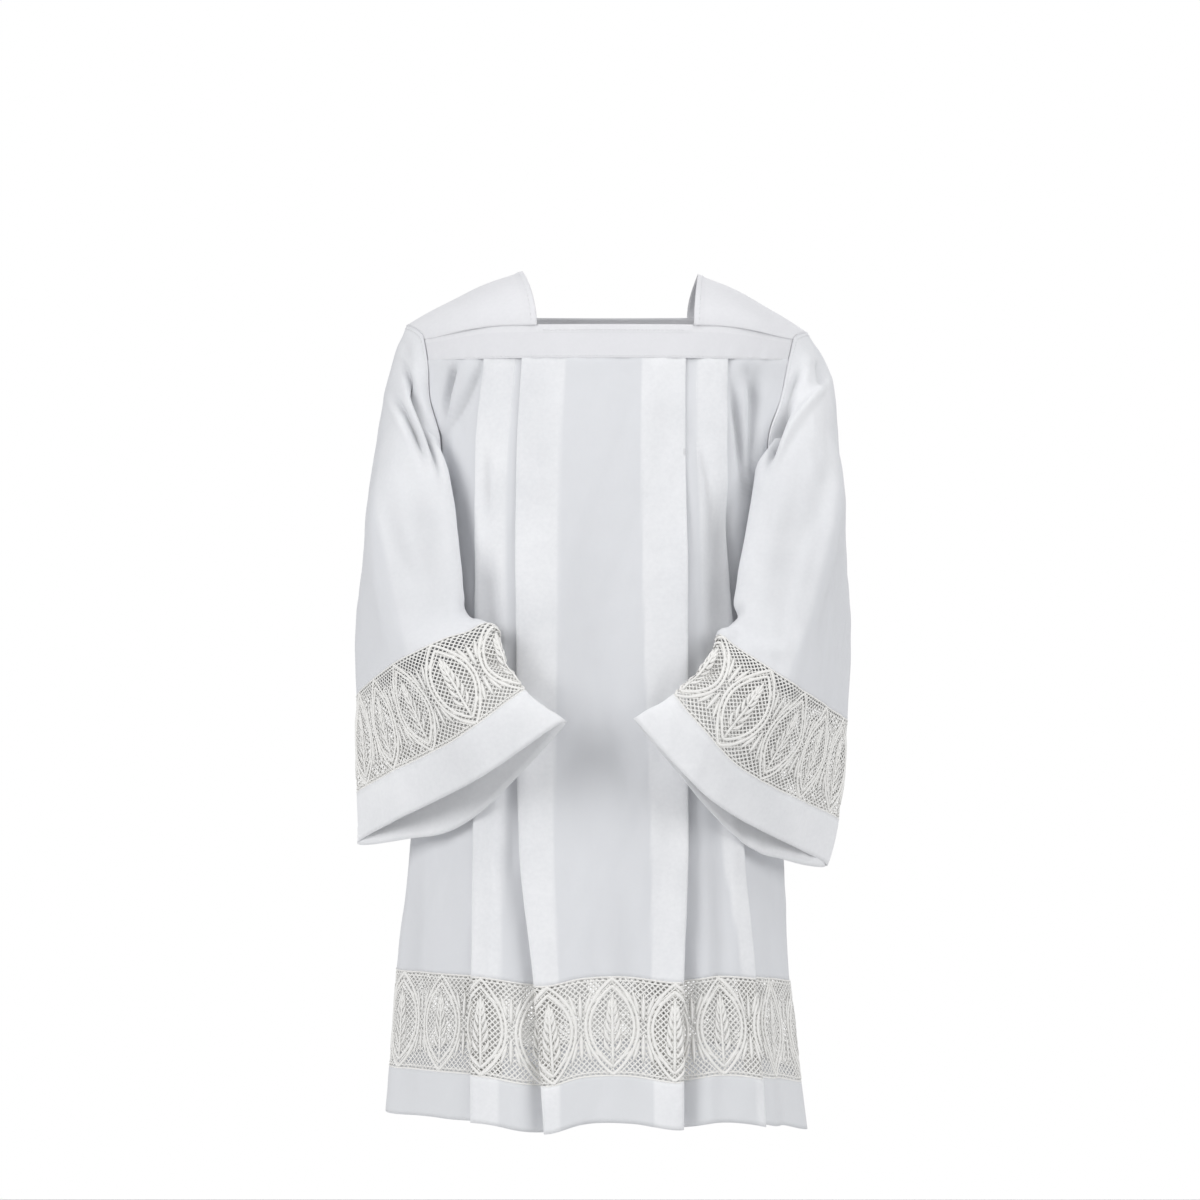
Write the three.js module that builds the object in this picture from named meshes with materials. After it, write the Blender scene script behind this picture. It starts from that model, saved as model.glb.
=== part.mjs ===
// A worn surplice: a square-necked, pleated white overgarment with bands of lace at the
// cuffs and hem, kept in the hollow form it takes on a standing wearer with bent arms.
// Millimetres, +Z up. -Y is the wearer's front, +X the wearer's left. The origin lies
// midway between the two neck-side tops of the shoulders, where the garment is held up.

import * as THREE from 'three';

// ---------------------------------------------------------------- driving dimensions

const CLOTH = 1.6;              // thickness of every cloth wall
const SEAM_GAP = 0.3;           // space between two pieces at a seam
const YOKE_SEAM = -101;         // height of the seam where the pleats meet the yoke
const NECK_FRONT = -66;         // height of the front edge of the square neck
const NECK_BACK = -46;          // height of the back edge of the square neck
const UNDERARM = -247;          // height of the bottom of the armholes
const LACE_TOP = -733;          // top edge of the hem lace
const LACE_LOW = -830;          // bottom edge of the hem lace
const HEM = -878;               // bottom edge of the garment
const SLEEVE_CLEAR = 12;        // space between the sleeves and the body panels
const ARMHOLE_GAP = 2.4;        // how far the sleeve's first ring stands out from the armhole
const ROUNDNESS = 2.3;          // power of the rounded body section, 2 is an ellipse
const YOKE_LIFT = 4;            // how far the yoke lies proud of the panels' lowest layer
const YOKE_END = -77;           // height of the yokes' top edges at the armholes
const SHOULDER_GAP = 0.9;       // space between the yokes and the curved shoulder pieces

const CLOTH_MATERIAL = { color: 0xf1f3f7, roughness: 0.85, metalness: 0 };
const LACE_MATERIAL = { color: 0xe9e8e2, roughness: 0.9, metalness: 0 };

// Body sections from the yoke to the hem: the x of both sides, the y of front and back.
const BODY = [
  { z: -40, left: -207, right: 208, front: -92, back: 86 },
  { z: -101, left: -205, right: 207, front: -101, back: 96 },
  { z: -180, left: -198, right: 196, front: -116, back: 108 },
  { z: -247, left: -186, right: 182, front: -124, back: 112 },
  { z: -390, left: -184, right: 173, front: -137, back: 108 },
  { z: -600, left: -206, right: 182, front: -150, back: 118 },
  { z: -733, left: -219, right: 186, front: -160, back: 132 },
  { z: -900, left: -230, right: 205, front: -172, back: 148 },
];

// Four pleats, counted from the wearer's right: the x of each folded edge, how far each
// pleat reaches under itself, the pitch of the layers, how deep the middle face sags in
// and how far the sides wave. The pleats open and the waves grow towards the hem.
const FRONT_PLEATS = [
  { z: -101, x1: -127, x2: -88, x3: 79, x4: 122, under1: 33, under2: 45, under3: 45, under4: 33,
    pitch: 2.8, sag: 0, wave: 0 },
  { z: -196, x1: -135, x2: -93, x3: 78, x4: 121, under1: 35, under2: 45, under3: 45, under4: 33,
    pitch: 2.8, sag: 0, wave: 0 },
  { z: -389, x1: -134, x2: -92, x3: 78, x4: 125, under1: 34, under2: 42, under3: 43, under4: 32,
    pitch: 3.6, sag: 2, wave: 1 },
  { z: -600, x1: -133, x2: -88, x3: 77, x4: 131, under1: 32, under2: 34, under3: 36, under4: 24,
    pitch: 5.2, sag: 5, wave: 4 },
  { z: -733, x1: -133, x2: -73, x3: 72, x4: 140, under1: 30, under2: 24, under3: 31, under4: 16,
    pitch: 6.6, sag: 8, wave: 6 },
  { z: -900, x1: -133, x2: -61, x3: 71, x4: 150, under1: 28, under2: 14, under3: 27, under4: 9,
    pitch: 8, sag: 11, wave: 8 },
];
const BACK_PLEATS = [
  { z: -101, x1: -124, x2: -84, x3: 86, x4: 125, under1: 33, under2: 45, under3: 45, under4: 33,
    pitch: 2.8, sag: 0, wave: 0 },
  { z: -196, x1: -126, x2: -86, x3: 85, x4: 124, under1: 33, under2: 45, under3: 45, under4: 33,
    pitch: 2.8, sag: 0, wave: 0 },
  { z: -389, x1: -131, x2: -86, x3: 80, x4: 124, under1: 32, under2: 42, under3: 42, under4: 32,
    pitch: 3.6, sag: 2, wave: 2 },
  { z: -600, x1: -140, x2: -84, x3: 70, x4: 124, under1: 26, under2: 33, under3: 34, under4: 28,
    pitch: 5.2, sag: 6, wave: 5 },
  { z: -733, x1: -148, x2: -80, x3: 62, x4: 126, under1: 21, under2: 24, under3: 26, under4: 25,
    pitch: 6.6, sag: 9, wave: 7 },
  { z: -900, x1: -158, x2: -74, x3: 56, x4: 132, under1: 14, under2: 16, under3: 18, under4: 22,
    pitch: 8, sag: 12, wave: 9 },
];

// How much lower than its mean level the hem hangs at each x.
const HEM_FALL = [
  { x: -230, fall: 0 }, { x: -130, fall: -3 }, { x: -66, fall: 6 }, { x: -25, fall: -3 },
  { x: 22, fall: -4 }, { x: 70, fall: 2 }, { x: 110, fall: -3 }, { x: 150, fall: 2 },
  { x: 206, fall: 20 },
];

// Where the armhole seam cuts the body section, in degrees round from front or back.
const ARMHOLES = [
  { z: -60, frontL: 66, frontR: 66, backL: 66, backR: 66 },
  { z: -101, frontL: 62, frontR: 60.5, backL: 61, backR: 60 },
  { z: -140, frontL: 62, frontR: 58, backL: 61, backR: 59 },
  { z: -185, frontL: 57.5, frontR: 54, backL: 60, backR: 59 },
  { z: -222, frontL: 65, frontR: 63, backL: 69, backR: 68 },
  { z: -247, frontL: 89.9, frontR: 89.9, backL: 89.9, backR: 89.9 },
];

// Shoulders: the neck edge and the shoulder tip at the top of the shoulder.
const SHOULDERS = {
  left: { neck: [94, 8, -7], tip: [209, 5, -68], front: 87, back: 84 },
  right: { neck: [-90, 8, -4], tip: [-211, 5, -60], front: -73, back: -76 },
};

// Sleeve sections from the armhole to the cuff, each by five points round the sleeve:
// its outer edge, front, the fold at the inner front, its underside and its back.
const SLEEVE_TURN = { outer: 0, front: 0.22, fold: 0.4, under: 0.54, back: 0.78 };
const SLEEVES = {
  right: [
    { name: 'cap', outer: [-230, 6, -112], front: [-207, -74, -140], fold: [-169, -84, -205],
      under: [-194, -6, -252], back: [-210, 62, -135] },
    { name: 'upper', outer: [-241, 8, -170], front: [-220, -90, -195], fold: [-161, -98, -232],
      under: [-196, -10, -262], back: [-226, 68, -192] },
    { name: 'middle', outer: [-251, 12, -249], front: [-234, -97, -262], fold: [-154, -110, -280],
      under: [-197, -14, -300], back: [-232, 76, -262] },
    { name: 'elbow', outer: [-265, 18, -370], front: [-219, -117, -364], fold: [-143, -124, -360],
      under: [-198, -32, -380], back: [-240, 70, -374] },
    { name: 'lace_top', outer: [-264, -8, -450], front: [-201, -142, -405], fold: [-120, -144, -377],
      under: [-184, -82, -424], back: [-234, 22, -440] },
    { name: 'lace_low', outer: [-259, -35, -546], front: [-155, -182, -488], fold: [-83, -198, -438],
      under: [-150, -125, -502], back: [-222, -52, -540] },
    { name: 'cuff', outer: [-258, -45, -598], front: [-131, -192, -528], fold: [-42, -205, -470],
      under: [-135, -140, -568], back: [-208, -88, -594] },
  ],
  left: [
    { name: 'cap', outer: [235, 6, -115], front: [208, -75, -145], fold: [155, -86, -210],
      under: [192, -6, -252], back: [210, 62, -138] },
    { name: 'upper', outer: [241, 8, -170], front: [214, -92, -188], fold: [149, -99, -234],
      under: [193, -10, -262], back: [224, 68, -190] },
    { name: 'middle', outer: [247, 12, -249], front: [230, -98, -257], fold: [139, -112, -286],
      under: [192, -14, -300], back: [228, 76, -260] },
    { name: 'elbow', outer: [255, 18, -370], front: [203, -118, -362], fold: [125, -126, -363],
      under: [188, -34, -382], back: [232, 70, -372] },
    { name: 'lace_top', outer: [250, -8, -476], front: [186, -142, -434], fold: [115, -144, -389],
      under: [172, -82, -438], back: [222, 22, -462] },
    { name: 'lace_low', outer: [238, -35, -574], front: [133, -182, -516], fold: [65, -198, -442],
      under: [128, -125, -522], back: [202, -52, -566] },
    { name: 'cuff', outer: [224, -45, -621], front: [107, -192, -552], fold: [25, -205, -467],
      under: [122, -142, -582], back: [184, -90, -616] },
  ],
};

// ---------------------------------------------------------------- curves through rows

// Value at t of the smooth curve through (knots[i], values[i]), its slope at each knot
// being that from the knot before to the knot after.
function smooth(knots, values, t) {
  const last = knots.length - 1;
  let i = 0;
  while (i < last - 1 && t > knots[i + 1]) i += 1;
  const slope = (k) => {
    const a = Math.max(k - 1, 0);
    const b = Math.min(k + 1, last);
    return (values[b] - values[a]) / (knots[b] - knots[a]);
  };
  const span = knots[i + 1] - knots[i];
  const u = (t - knots[i]) / span;
  const u2 = u * u;
  const u3 = u2 * u;
  return (2 * u3 - 3 * u2 + 1) * values[i] + (u3 - 2 * u2 + u) * span * slope(i)
    + (3 * u2 - 2 * u3) * values[i + 1] + (u3 - u2) * span * slope(i + 1);
}

// One column of a table of rows by height, at height z.
function column(table, name, z) {
  return smooth(table.map((row) => -row.z), table.map((row) => row[name]), -z);
}

function hemFall(x) {
  return smooth(HEM_FALL.map((row) => row.x), HEM_FALL.map((row) => row.fall), x);
}

function mix(a, b, t) {
  return a + (b - a) * t;
}

function rise(from, to, value) {
  const t = Math.min(Math.max((value - from) / (to - from), 0), 1);
  return t * t * (3 - 2 * t);
}

// ---------------------------------------------------------------- the body section

// Point on the rounded section at height z, turned by angle from the front (side -1) or
// from the back (side 1), and moved out by lift: x and y are powers of sine and cosine.
function bodyPoint(side, z, angle, lift) {
  const left = column(BODY, 'left', z);
  const right = column(BODY, 'right', z);
  const half = (right - left) / 2;
  const depth = Math.abs(column(BODY, side < 0 ? 'front' : 'back', z));
  const across = Math.sign(angle) * Math.abs(Math.sin(angle)) ** (2 / ROUNDNESS);
  const along = Math.max(Math.cos(angle), 0) ** (2 / ROUNDNESS);
  const nx = Math.sign(across) * Math.abs(across) ** (ROUNDNESS - 1) / half;
  const ny = along ** (ROUNDNESS - 1) / depth;
  const size = Math.hypot(nx, ny);
  const x = (left + right) / 2 + half * across + lift * nx / size;
  const fall = hemFall(x) * rise(UNDERARM, HEM, z);
  return new THREE.Vector3(x, side * (depth * along + lift * ny / size), z - fall);
}

// The section's own length from its middle, tabulated so that both the angle at a given
// length and the length at a given x can be read from it.
function sectionRuler(side, z) {
  const steps = 72;
  const rows = [{ angle: 0, run: 0, x: bodyPoint(side, z, 0, 0).x }];
  const halves = [];
  for (const hand of [-1, 1]) {
    const half = [rows[0]];
    let last = bodyPoint(side, z, 0, 0);
    for (let i = 1; i <= steps; i += 1) {
      const angle = hand * (Math.PI / 2) * (i / steps);
      const point = bodyPoint(side, z, angle, 0);
      const run = half[i - 1].run + hand * Math.hypot(point.x - last.x, point.y - last.y);
      half.push({ angle, run, x: point.x });
      last = point;
    }
    halves.push(half);
  }
  const all = [...halves[0].slice(1).reverse(), ...halves[1]];
  const read = (from, to) => (value) => {
    let i = 0;
    while (i < all.length - 2 && value > all[i + 1][from]) i += 1;
    const u = (value - all[i][from]) / (all[i + 1][from] - all[i][from]);
    return mix(all[i][to], all[i + 1][to], u);
  };
  return { angleAt: read('run', 'angle'), runAt: read('x', 'run'), runOf: read('angle', 'run') };
}

function armholeAngle(side, hand, z) {
  if (z <= UNDERARM) return hand * Math.PI / 2;
  const name = (side < 0 ? 'front' : 'back') + (hand < 0 ? 'R' : 'L');
  const swap = { frontR: 'frontL', frontL: 'frontR', backR: 'backL', backL: 'backR' };
  return hand * column(ARMHOLES, swap[name], z) * Math.PI / 180;
}

// ---------------------------------------------------------------- walls from grids

// A closed wall between an outer and an inner grid of points. A ring closes on itself
// round its rows; an open sheet gets edges down both sides.
function wallGeometry(outer, inner, ring) {
  const rows = outer.length;
  const cols = outer[0].length;
  const positions = [];
  for (const grid of [outer, inner]) {
    for (const row of grid) for (const p of row) positions.push(p.x, p.y, p.z);
  }
  const index = [];
  const id = (layer, r, c) => layer * rows * cols + r * cols + (c % cols);
  const quad = (a, b, c, d) => index.push(a, b, c, a, c, d);
  const spans = ring ? cols : cols - 1;
  for (let r = 0; r < rows - 1; r += 1) {
    for (let c = 0; c < spans; c += 1) {
      quad(id(0, r, c), id(0, r + 1, c), id(0, r + 1, c + 1), id(0, r, c + 1));
      quad(id(1, r, c), id(1, r, c + 1), id(1, r + 1, c + 1), id(1, r + 1, c));
    }
  }
  for (let c = 0; c < spans; c += 1) {
    quad(id(0, 0, c), id(0, 0, c + 1), id(1, 0, c + 1), id(1, 0, c));
    const r = rows - 1;
    quad(id(0, r, c), id(1, r, c), id(1, r, c + 1), id(0, r, c + 1));
  }
  if (!ring) {
    for (let r = 0; r < rows - 1; r += 1) {
      quad(id(0, r, 0), id(1, r, 0), id(1, r + 1, 0), id(0, r + 1, 0));
      const c = cols - 1;
      quad(id(0, r, c), id(0, r + 1, c), id(1, r + 1, c), id(1, r, c));
    }
  }
  if (signedVolume(positions, index) < 0) {
    for (let i = 0; i < index.length; i += 3) [index[i + 1], index[i + 2]] = [index[i + 2], index[i + 1]];
  }
  const geometry = new THREE.BufferGeometry();
  geometry.setAttribute('position', new THREE.Float32BufferAttribute(positions, 3));
  geometry.setIndex(index);
  geometry.computeVertexNormals();
  return geometry;
}

// Six times the volume inside the triangles: positive where the faces point out.
function signedVolume(positions, index) {
  const at = (i) => new THREE.Vector3().fromArray(positions, 3 * i);
  let total = 0;
  for (let i = 0; i < index.length; i += 3) {
    total += at(index[i]).dot(at(index[i + 1]).cross(at(index[i + 2])));
  }
  return total;
}

// The two faces of a wall on a grid of points: each point moved by half a cloth along
// the normal found from its neighbours in the row and in the column. Spare rows at both
// ends only steady the normals at the seams, and are dropped.
function thicken(grid, ring, spare = 0) {
  const rows = grid.length;
  const cols = grid[0].length;
  const pick = (r, c) => grid[Math.min(Math.max(r, 0), rows - 1)][
    ring ? (c + cols) % cols : Math.min(Math.max(c, 0), cols - 1)];
  const shift = (sign) => grid.map((row, r) => row.map((point, c) => {
    const across = pick(r, c + 1).clone().sub(pick(r, c - 1));
    const down = pick(r + 1, c).clone().sub(pick(r - 1, c));
    const normal = across.cross(down).normalize();
    return point.clone().addScaledVector(normal, sign * CLOTH / 2);
  }));
  return [shift(1), shift(-1)].map((face) => face.slice(spare, rows - spare));
}

// ---------------------------------------------------------------- pleated panels

// The cloth's path across one section, as stations of run along the section and lift
// from it: at each pleat it runs under the folded edge, turns back and turns again.
function pleatPath(side, z, table) {
  const ruler = sectionRuler(side, z);
  const pitch = column(table, 'pitch', z);
  const turn = pitch / 2;
  const sag = column(table, 'sag', z);
  const wave = column(table, 'wave', z);
  const half = (hand, reach) => {
    const [outer, inner] = hand < 0 ? [1, 2] : [4, 3];
    const outerEdge = ruler.runAt(column(table, `x${outer}`, z)) * hand;
    const innerEdge = ruler.runAt(column(table, `x${inner}`, z)) * hand;
    const outerUnder = column(table, `under${outer}`, z);
    const innerUnder = column(table, `under${inner}`, z);
    const edge = reach * hand;
    const flank = [[0, 0], [0.08, 0], [0.3, 1], [0.56, -0.7], [0.8, 0.5]].map(([t, height]) => (
      [mix(edge, outerEdge + turn, t), wave * height]));
    const zFold = (at, under) => [
      [at - under + turn, 0], [at - under, turn], [at - under + turn, pitch],
      [at - turn, pitch], [at, pitch + turn], [at - turn, 2 * pitch],
    ];
    const step = mix(outerEdge, innerEdge, 0.55);
    return [
      ...flank, ...zFold(outerEdge, outerUnder), [step, 1.9 * pitch],
      [innerEdge + turn + 2, 0.35 * pitch], ...zFold(innerEdge, innerUnder),
      [innerEdge / 2, 2 * pitch - sag * 0.7],
    ].map(([run, lift]) => [run * hand, lift]);
  };
  const reachL = ruler.runOf(armholeAngle(side, -1, z));
  const reachR = ruler.runOf(armholeAngle(side, 1, z));
  const gap = z <= UNDERARM ? SEAM_GAP / 2 : 0;
  const leftHalf = half(-1, reachL + gap);
  const rightHalf = half(1, reachR - gap).reverse();
  return { ruler, path: [...leftHalf, [0, 2 * pitch - sag], ...rightHalf] };
}

// The same path moved half a cloth to one side, mitred at its corners.
function offsetPath(path, distance) {
  return path.map(([run, lift], i) => {
    const before = path[Math.max(i - 1, 0)];
    const after = path[Math.min(i + 1, path.length - 1)];
    const a = new THREE.Vector2(run - before[0], lift - before[1]).normalize();
    const b = new THREE.Vector2(after[0] - run, after[1] - lift).normalize();
    if (i === 0) a.copy(b);
    if (i === path.length - 1) b.copy(a);
    const normal = new THREE.Vector2(-a.y - b.y, a.x + b.x).normalize();
    const mitre = Math.max(normal.dot(new THREE.Vector2(-a.y, a.x)), 0.5);
    return [run + normal.x * distance / mitre, lift + normal.y * distance / mitre];
  });
}

// A pleated wall between two heights, cut into the given rows.
function pleatedPiece(side, table, heights) {
  const face = (distance) => heights.map((z) => {
    const { ruler, path } = pleatPath(side, z, table);
    return offsetPath(path, distance).map(([run, lift]) => {
      const limit = Math.PI / 2;
      const angle = Math.min(Math.max(ruler.angleAt(run), -limit), limit);
      return bodyPoint(side, z, angle, lift);
    });
  });
  return wallGeometry(face(CLOTH / 2), face(-CLOTH / 2), false);
}

// Heights between two seams, half a gap in from each.
function heightsBetween(top, low, count) {
  const rows = [];
  for (let i = 0; i <= count; i += 1) {
    rows.push(mix(top - SEAM_GAP / 2, low + SEAM_GAP / 2, i / count));
  }
  return rows;
}

// ---------------------------------------------------------------- yokes and shoulders

// Height of the yoke's top edge at place u, from one armhole (-1) to the other (1): level
// at the neck, dipping beside it to meet the shoulder pieces at the armholes.
function yokeTop(side, u) {
  return mix(side < 0 ? NECK_FRONT : NECK_BACK, YOKE_END, rise(0.4, 1, Math.abs(u)));
}

function yokePoint(side, u, z) {
  const limit = Math.abs(armholeAngle(side, u < 0 ? -1 : 1, z));
  return bodyPoint(side, z, u * limit, YOKE_LIFT);
}

// A plain band from the neck edge down to the pleat seam, between the armholes.
function yokePiece(side) {
  const grid = [0, 0.5, 1].map((t) => {
    const row = [];
    for (let i = -11; i <= 11; i += 1) {
      const u = i / 11;
      const z = mix(yokeTop(side, u) - SEAM_GAP / 2, YOKE_SEAM + SEAM_GAP / 2, t);
      row.push(yokePoint(side, u, z));
    }
    return row;
  });
  return wallGeometry(...thicken(grid, false), false);
}

// A point of the yoke's top edge: t runs from the corner of the neck to the armhole.
function yokeTopPoint(side, hand, t) {
  const corner = SHOULDERS[hand < 0 ? 'right' : 'left'][side < 0 ? 'front' : 'back'];
  let u = 0;
  while (Math.abs(yokePoint(side, hand * u, yokeTop(side, u)).x) < Math.abs(corner)) u += 0.005;
  const place = hand * mix(u, 1, t);
  return yokePoint(side, place, yokeTop(side, place) + SHOULDER_GAP);
}

// The shoulder surface: a quarter oval from the yoke's top edge up to the shoulder line,
// at front and back alike. t runs from neck to armhole, turn from front (-1) to back (1).
function shoulderPoint(hand, t, turn) {
  const { neck, tip } = SHOULDERS[hand < 0 ? 'right' : 'left'];
  const side = turn < 0 ? -1 : 1;
  const foot = yokeTopPoint(side, hand, t);
  const crown = 5 * Math.sin(Math.PI * t);
  const top = new THREE.Vector3(mix(neck[0], tip[0], t), mix(neck[1], tip[1], t),
    mix(neck[2], tip[2], t) + crown);
  const angle = Math.abs(turn) * Math.PI / 2;
  return new THREE.Vector3(mix(top.x, foot.x, Math.sin(angle) ** 2),
    mix(top.y, foot.y, Math.sin(angle)), mix(foot.z, top.z, Math.cos(angle)));
}

function shoulderPiece(hand) {
  const grid = [];
  for (let r = 0; r <= 12; r += 1) {
    const row = [];
    for (let c = 0; c <= 6; c += 1) row.push(shoulderPoint(hand, c / 6, r / 6 - 1));
    grid.push(row);
  }
  return wallGeometry(...thicken(grid, false), false);
}

// ---------------------------------------------------------------- sleeves

// The armhole edge from the shoulder tip down the front to the underarm and up the back,
// as points at equal steps of its own length, each moved out by a seam's gap.
function armholeRing(hand, count) {
  const half = (side) => {
    const points = [];
    for (let i = 0; i <= 6; i += 1) points.push(shoulderPoint(hand, 1, side * i / 6));
    const top = points[points.length - 1].z;
    for (let i = 1; i <= 40; i += 1) {
      const z = mix(top, UNDERARM, i / 40);
      points.push(bodyPoint(side, z, armholeAngle(side, hand, z), YOKE_LIFT));
    }
    return points;
  };
  const resample = (points) => {
    const curve = new THREE.CatmullRomCurve3(points, false, 'centripetal');
    return curve.getSpacedPoints(count / 2);
  };
  const front = resample(half(-1));
  const back = resample(half(1)).reverse();
  return [...front.slice(0, -1), ...back.slice(0, -1)].map((p) => (
    new THREE.Vector3(p.x + hand * ARMHOLE_GAP, p.y * (1 + 0.02 * rise(60, 190, -p.z)), p.z)));
}

// One sleeve section: a closed smooth curve through its five named points.
function sectionRing(row, count) {
  const names = Object.keys(SLEEVE_TURN);
  const knots = [];
  const points = [];
  for (const lap of [-1, 0, 1]) {
    for (const name of names) {
      knots.push(SLEEVE_TURN[name] + lap);
      points.push(row[name]);
    }
  }
  const ring = [];
  for (let i = 0; i < count; i += 1) {
    ring.push(new THREE.Vector3(...[0, 1, 2].map((axis) => (
      smooth(knots, points.map((p) => p[axis]), i / count)))));
  }
  return ring;
}

// A point moved straight out from the body section until it is clear of it by a space.
function clearOfBody(point, space) {
  const z = Math.min(Math.max(point.z, HEM), YOKE_SEAM);
  const left = column(BODY, 'left', z) - space;
  const right = column(BODY, 'right', z) + space;
  const depth = Math.abs(column(BODY, point.y < 0 ? 'front' : 'back', z)) + space;
  const middle = (left + right) / 2;
  const x = (point.x - middle) / ((right - left) / 2);
  const y = point.y / depth;
  const reach = (Math.abs(x) ** ROUNDNESS + Math.abs(y) ** ROUNDNESS) ** (1 / ROUNDNESS);
  if (reach >= 1) return point;
  return new THREE.Vector3(middle + (point.x - middle) / reach, point.y / reach, point.z);
}

// Sleeve rings at the given places, where place 0 is the armhole and place k the k-th
// row of the table. Between rows the points follow smooth curves.
function sleeveRings(hand, places, count) {
  const rows = SLEEVES[hand < 0 ? 'right' : 'left'];
  const keys = [armholeRing(hand, count), ...rows.map((row) => sectionRing(row, count))];
  const knots = keys.map((_, i) => i);
  const rings = [];
  for (const place of places) {
    const space = SLEEVE_CLEAR * rise(0, 2.6, place);
    rings.push(keys[0].map((_, i) => {
      const at = [0, 1, 2].map((axis) => (
        smooth(knots, keys.map((ring) => ring[i].getComponent(axis)), place)));
      const point = new THREE.Vector3(...at);
      return space > 0 ? clearOfBody(point, space) : point;
    }));
  }
  return rings;
}

const AROUND = 24;                                   // points round a sleeve
const PLACES = { armhole: 0, laceTop: 5, laceLow: 6, cuff: 7 };
const SEAM_PLACE = 0.004;                            // half a seam's gap, in rows of the table
const SPARE_PLACE = 0.03;                            // reach past a seam when finding its normal

function sleevePiece(hand, from, to, steps) {
  const a = from === PLACES.armhole ? from : from + SEAM_PLACE;
  const b = to === PLACES.cuff ? to : to - SEAM_PLACE;
  const places = [Math.max(a - SPARE_PLACE, 0), Math.min(b + SPARE_PLACE, PLACES.cuff)];
  for (let s = 0; s <= steps; s += 1) places.splice(1 + s, 0, mix(a, b, s / steps));
  return wallGeometry(...thicken(sleeveRings(hand, places, AROUND), true, 1), true);
}

// ---------------------------------------------------------------- the garment

const garment = new THREE.Group();

function add(name, geometry, finish) {
  const mesh = new THREE.Mesh(geometry, new THREE.MeshStandardMaterial(finish));
  mesh.name = name;
  garment.add(mesh);
}

const PANEL_ROWS = [YOKE_SEAM - SEAM_GAP / 2, -150, -192, -222, UNDERARM, -330, -430, -540, -640,
  LACE_TOP + SEAM_GAP / 2];

for (const [face, side, table] of [['front', -1, FRONT_PLEATS], ['back', 1, BACK_PLEATS]]) {
  add(`yoke_${face}`, yokePiece(side), CLOTH_MATERIAL);
  add(`panel_${face}`, pleatedPiece(side, table, PANEL_ROWS), CLOTH_MATERIAL);
  add(`hem_lace_${face}`, pleatedPiece(side, table, heightsBetween(LACE_TOP, LACE_LOW, 2)),
    LACE_MATERIAL);
  add(`hem_band_${face}`, pleatedPiece(side, table, heightsBetween(LACE_LOW, HEM, 1)),
    CLOTH_MATERIAL);
}

for (const [name, hand] of [['left', 1], ['right', -1]]) {
  add(`shoulder_${name}`, shoulderPiece(hand), CLOTH_MATERIAL);
  add(`sleeve_${name}`, sleevePiece(hand, PLACES.armhole, PLACES.laceTop, 12), CLOTH_MATERIAL);
  add(`cuff_lace_${name}`, sleevePiece(hand, PLACES.laceTop, PLACES.laceLow, 2), LACE_MATERIAL);
  add(`cuff_band_${name}`, sleevePiece(hand, PLACES.laceLow, PLACES.cuff, 1), CLOTH_MATERIAL);
}

export default garment;
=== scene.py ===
# A worn surplice: pleated white cloth with openwork lace at the cuffs and the hem, kept in
# the hollow form it takes on a standing wearer with bent arms. Shapes are worked out in
# millimetres and put into metres when a mesh is made. -Y is the wearer's front. Everywhere
# side is -1 for the front and 1 for the back, and hand is -1 for the wearer's right and 1
# for the left.

import math

import bpy
import numpy as np
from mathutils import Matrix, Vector


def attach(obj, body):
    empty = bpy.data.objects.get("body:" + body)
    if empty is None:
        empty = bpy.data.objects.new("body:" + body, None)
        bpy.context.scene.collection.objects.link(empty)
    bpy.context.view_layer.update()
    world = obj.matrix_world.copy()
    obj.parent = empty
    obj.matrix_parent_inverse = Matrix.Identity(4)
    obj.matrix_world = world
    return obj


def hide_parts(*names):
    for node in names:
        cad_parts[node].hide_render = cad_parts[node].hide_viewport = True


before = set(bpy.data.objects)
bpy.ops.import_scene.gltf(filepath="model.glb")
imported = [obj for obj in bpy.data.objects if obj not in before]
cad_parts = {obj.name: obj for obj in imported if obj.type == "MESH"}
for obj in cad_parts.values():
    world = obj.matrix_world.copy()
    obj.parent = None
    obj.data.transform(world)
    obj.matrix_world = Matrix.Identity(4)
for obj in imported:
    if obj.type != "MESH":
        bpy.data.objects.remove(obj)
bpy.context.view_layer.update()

MM = 0.001
TINY = 1e-9                 # keeps a length of nought from being divided by

# ---------------------------------------------------------------- driving dimensions

YOKE_SEAM = -101            # height of the seam where the pleats meet the yoke
NECK_FRONT = -66            # height of the front edge of the square neck
NECK_BACK = -46             # height of the back edge of the square neck
UNDERARM = -247             # height of the bottom of the armholes
LACE_TOP = -733             # top edge of the hem lace
LACE_LOW = -830             # bottom edge of the hem lace
HEM = -878                  # bottom edge of the garment
SLEEVE_CLEAR = 12           # space between the sleeves and the body panels
ARMHOLE_GAP = 0.3           # how far the sleeve's first ring stands out from the armhole
ROUNDNESS = 2.3             # power of the rounded body section, 2 is an ellipse
YOKE_LIFT = 4               # how far the yoke lies proud of the panels' lowest layer
YOKE_END = -77              # height of the yokes' top edges at the armholes
SHOULDER_LAP = 1.2          # how far the shoulder pieces lie over the yokes' top edges
LAP = 1.7                   # how far the lace's edge cords lie over the cloth they join
SEAM = 0.08                 # half the space between two pieces at a seam
TUCK = 2.0                  # how far the panels' seam allowance reaches up behind the yoke
TUCK_DROP = 1.3             # how much nearer the wearer its top edge lies
CLOTH = 0.5                 # thickness of the cloth
DOUBLED = 1.1               # thickness of the bands folded double
TURNED = dict(wide=7, thick=0.7)            # the narrow edge turned in round the neck
WEAVE_PITCH = 0.00045       # from thread to thread, in metres like the cloth's own map
PRESSED = 0.42              # layers of a real pressed pleat against those of the solid
SEAM_LEVEL = 2.9            # how far the pleats stand off the section where they are sewn in

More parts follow.
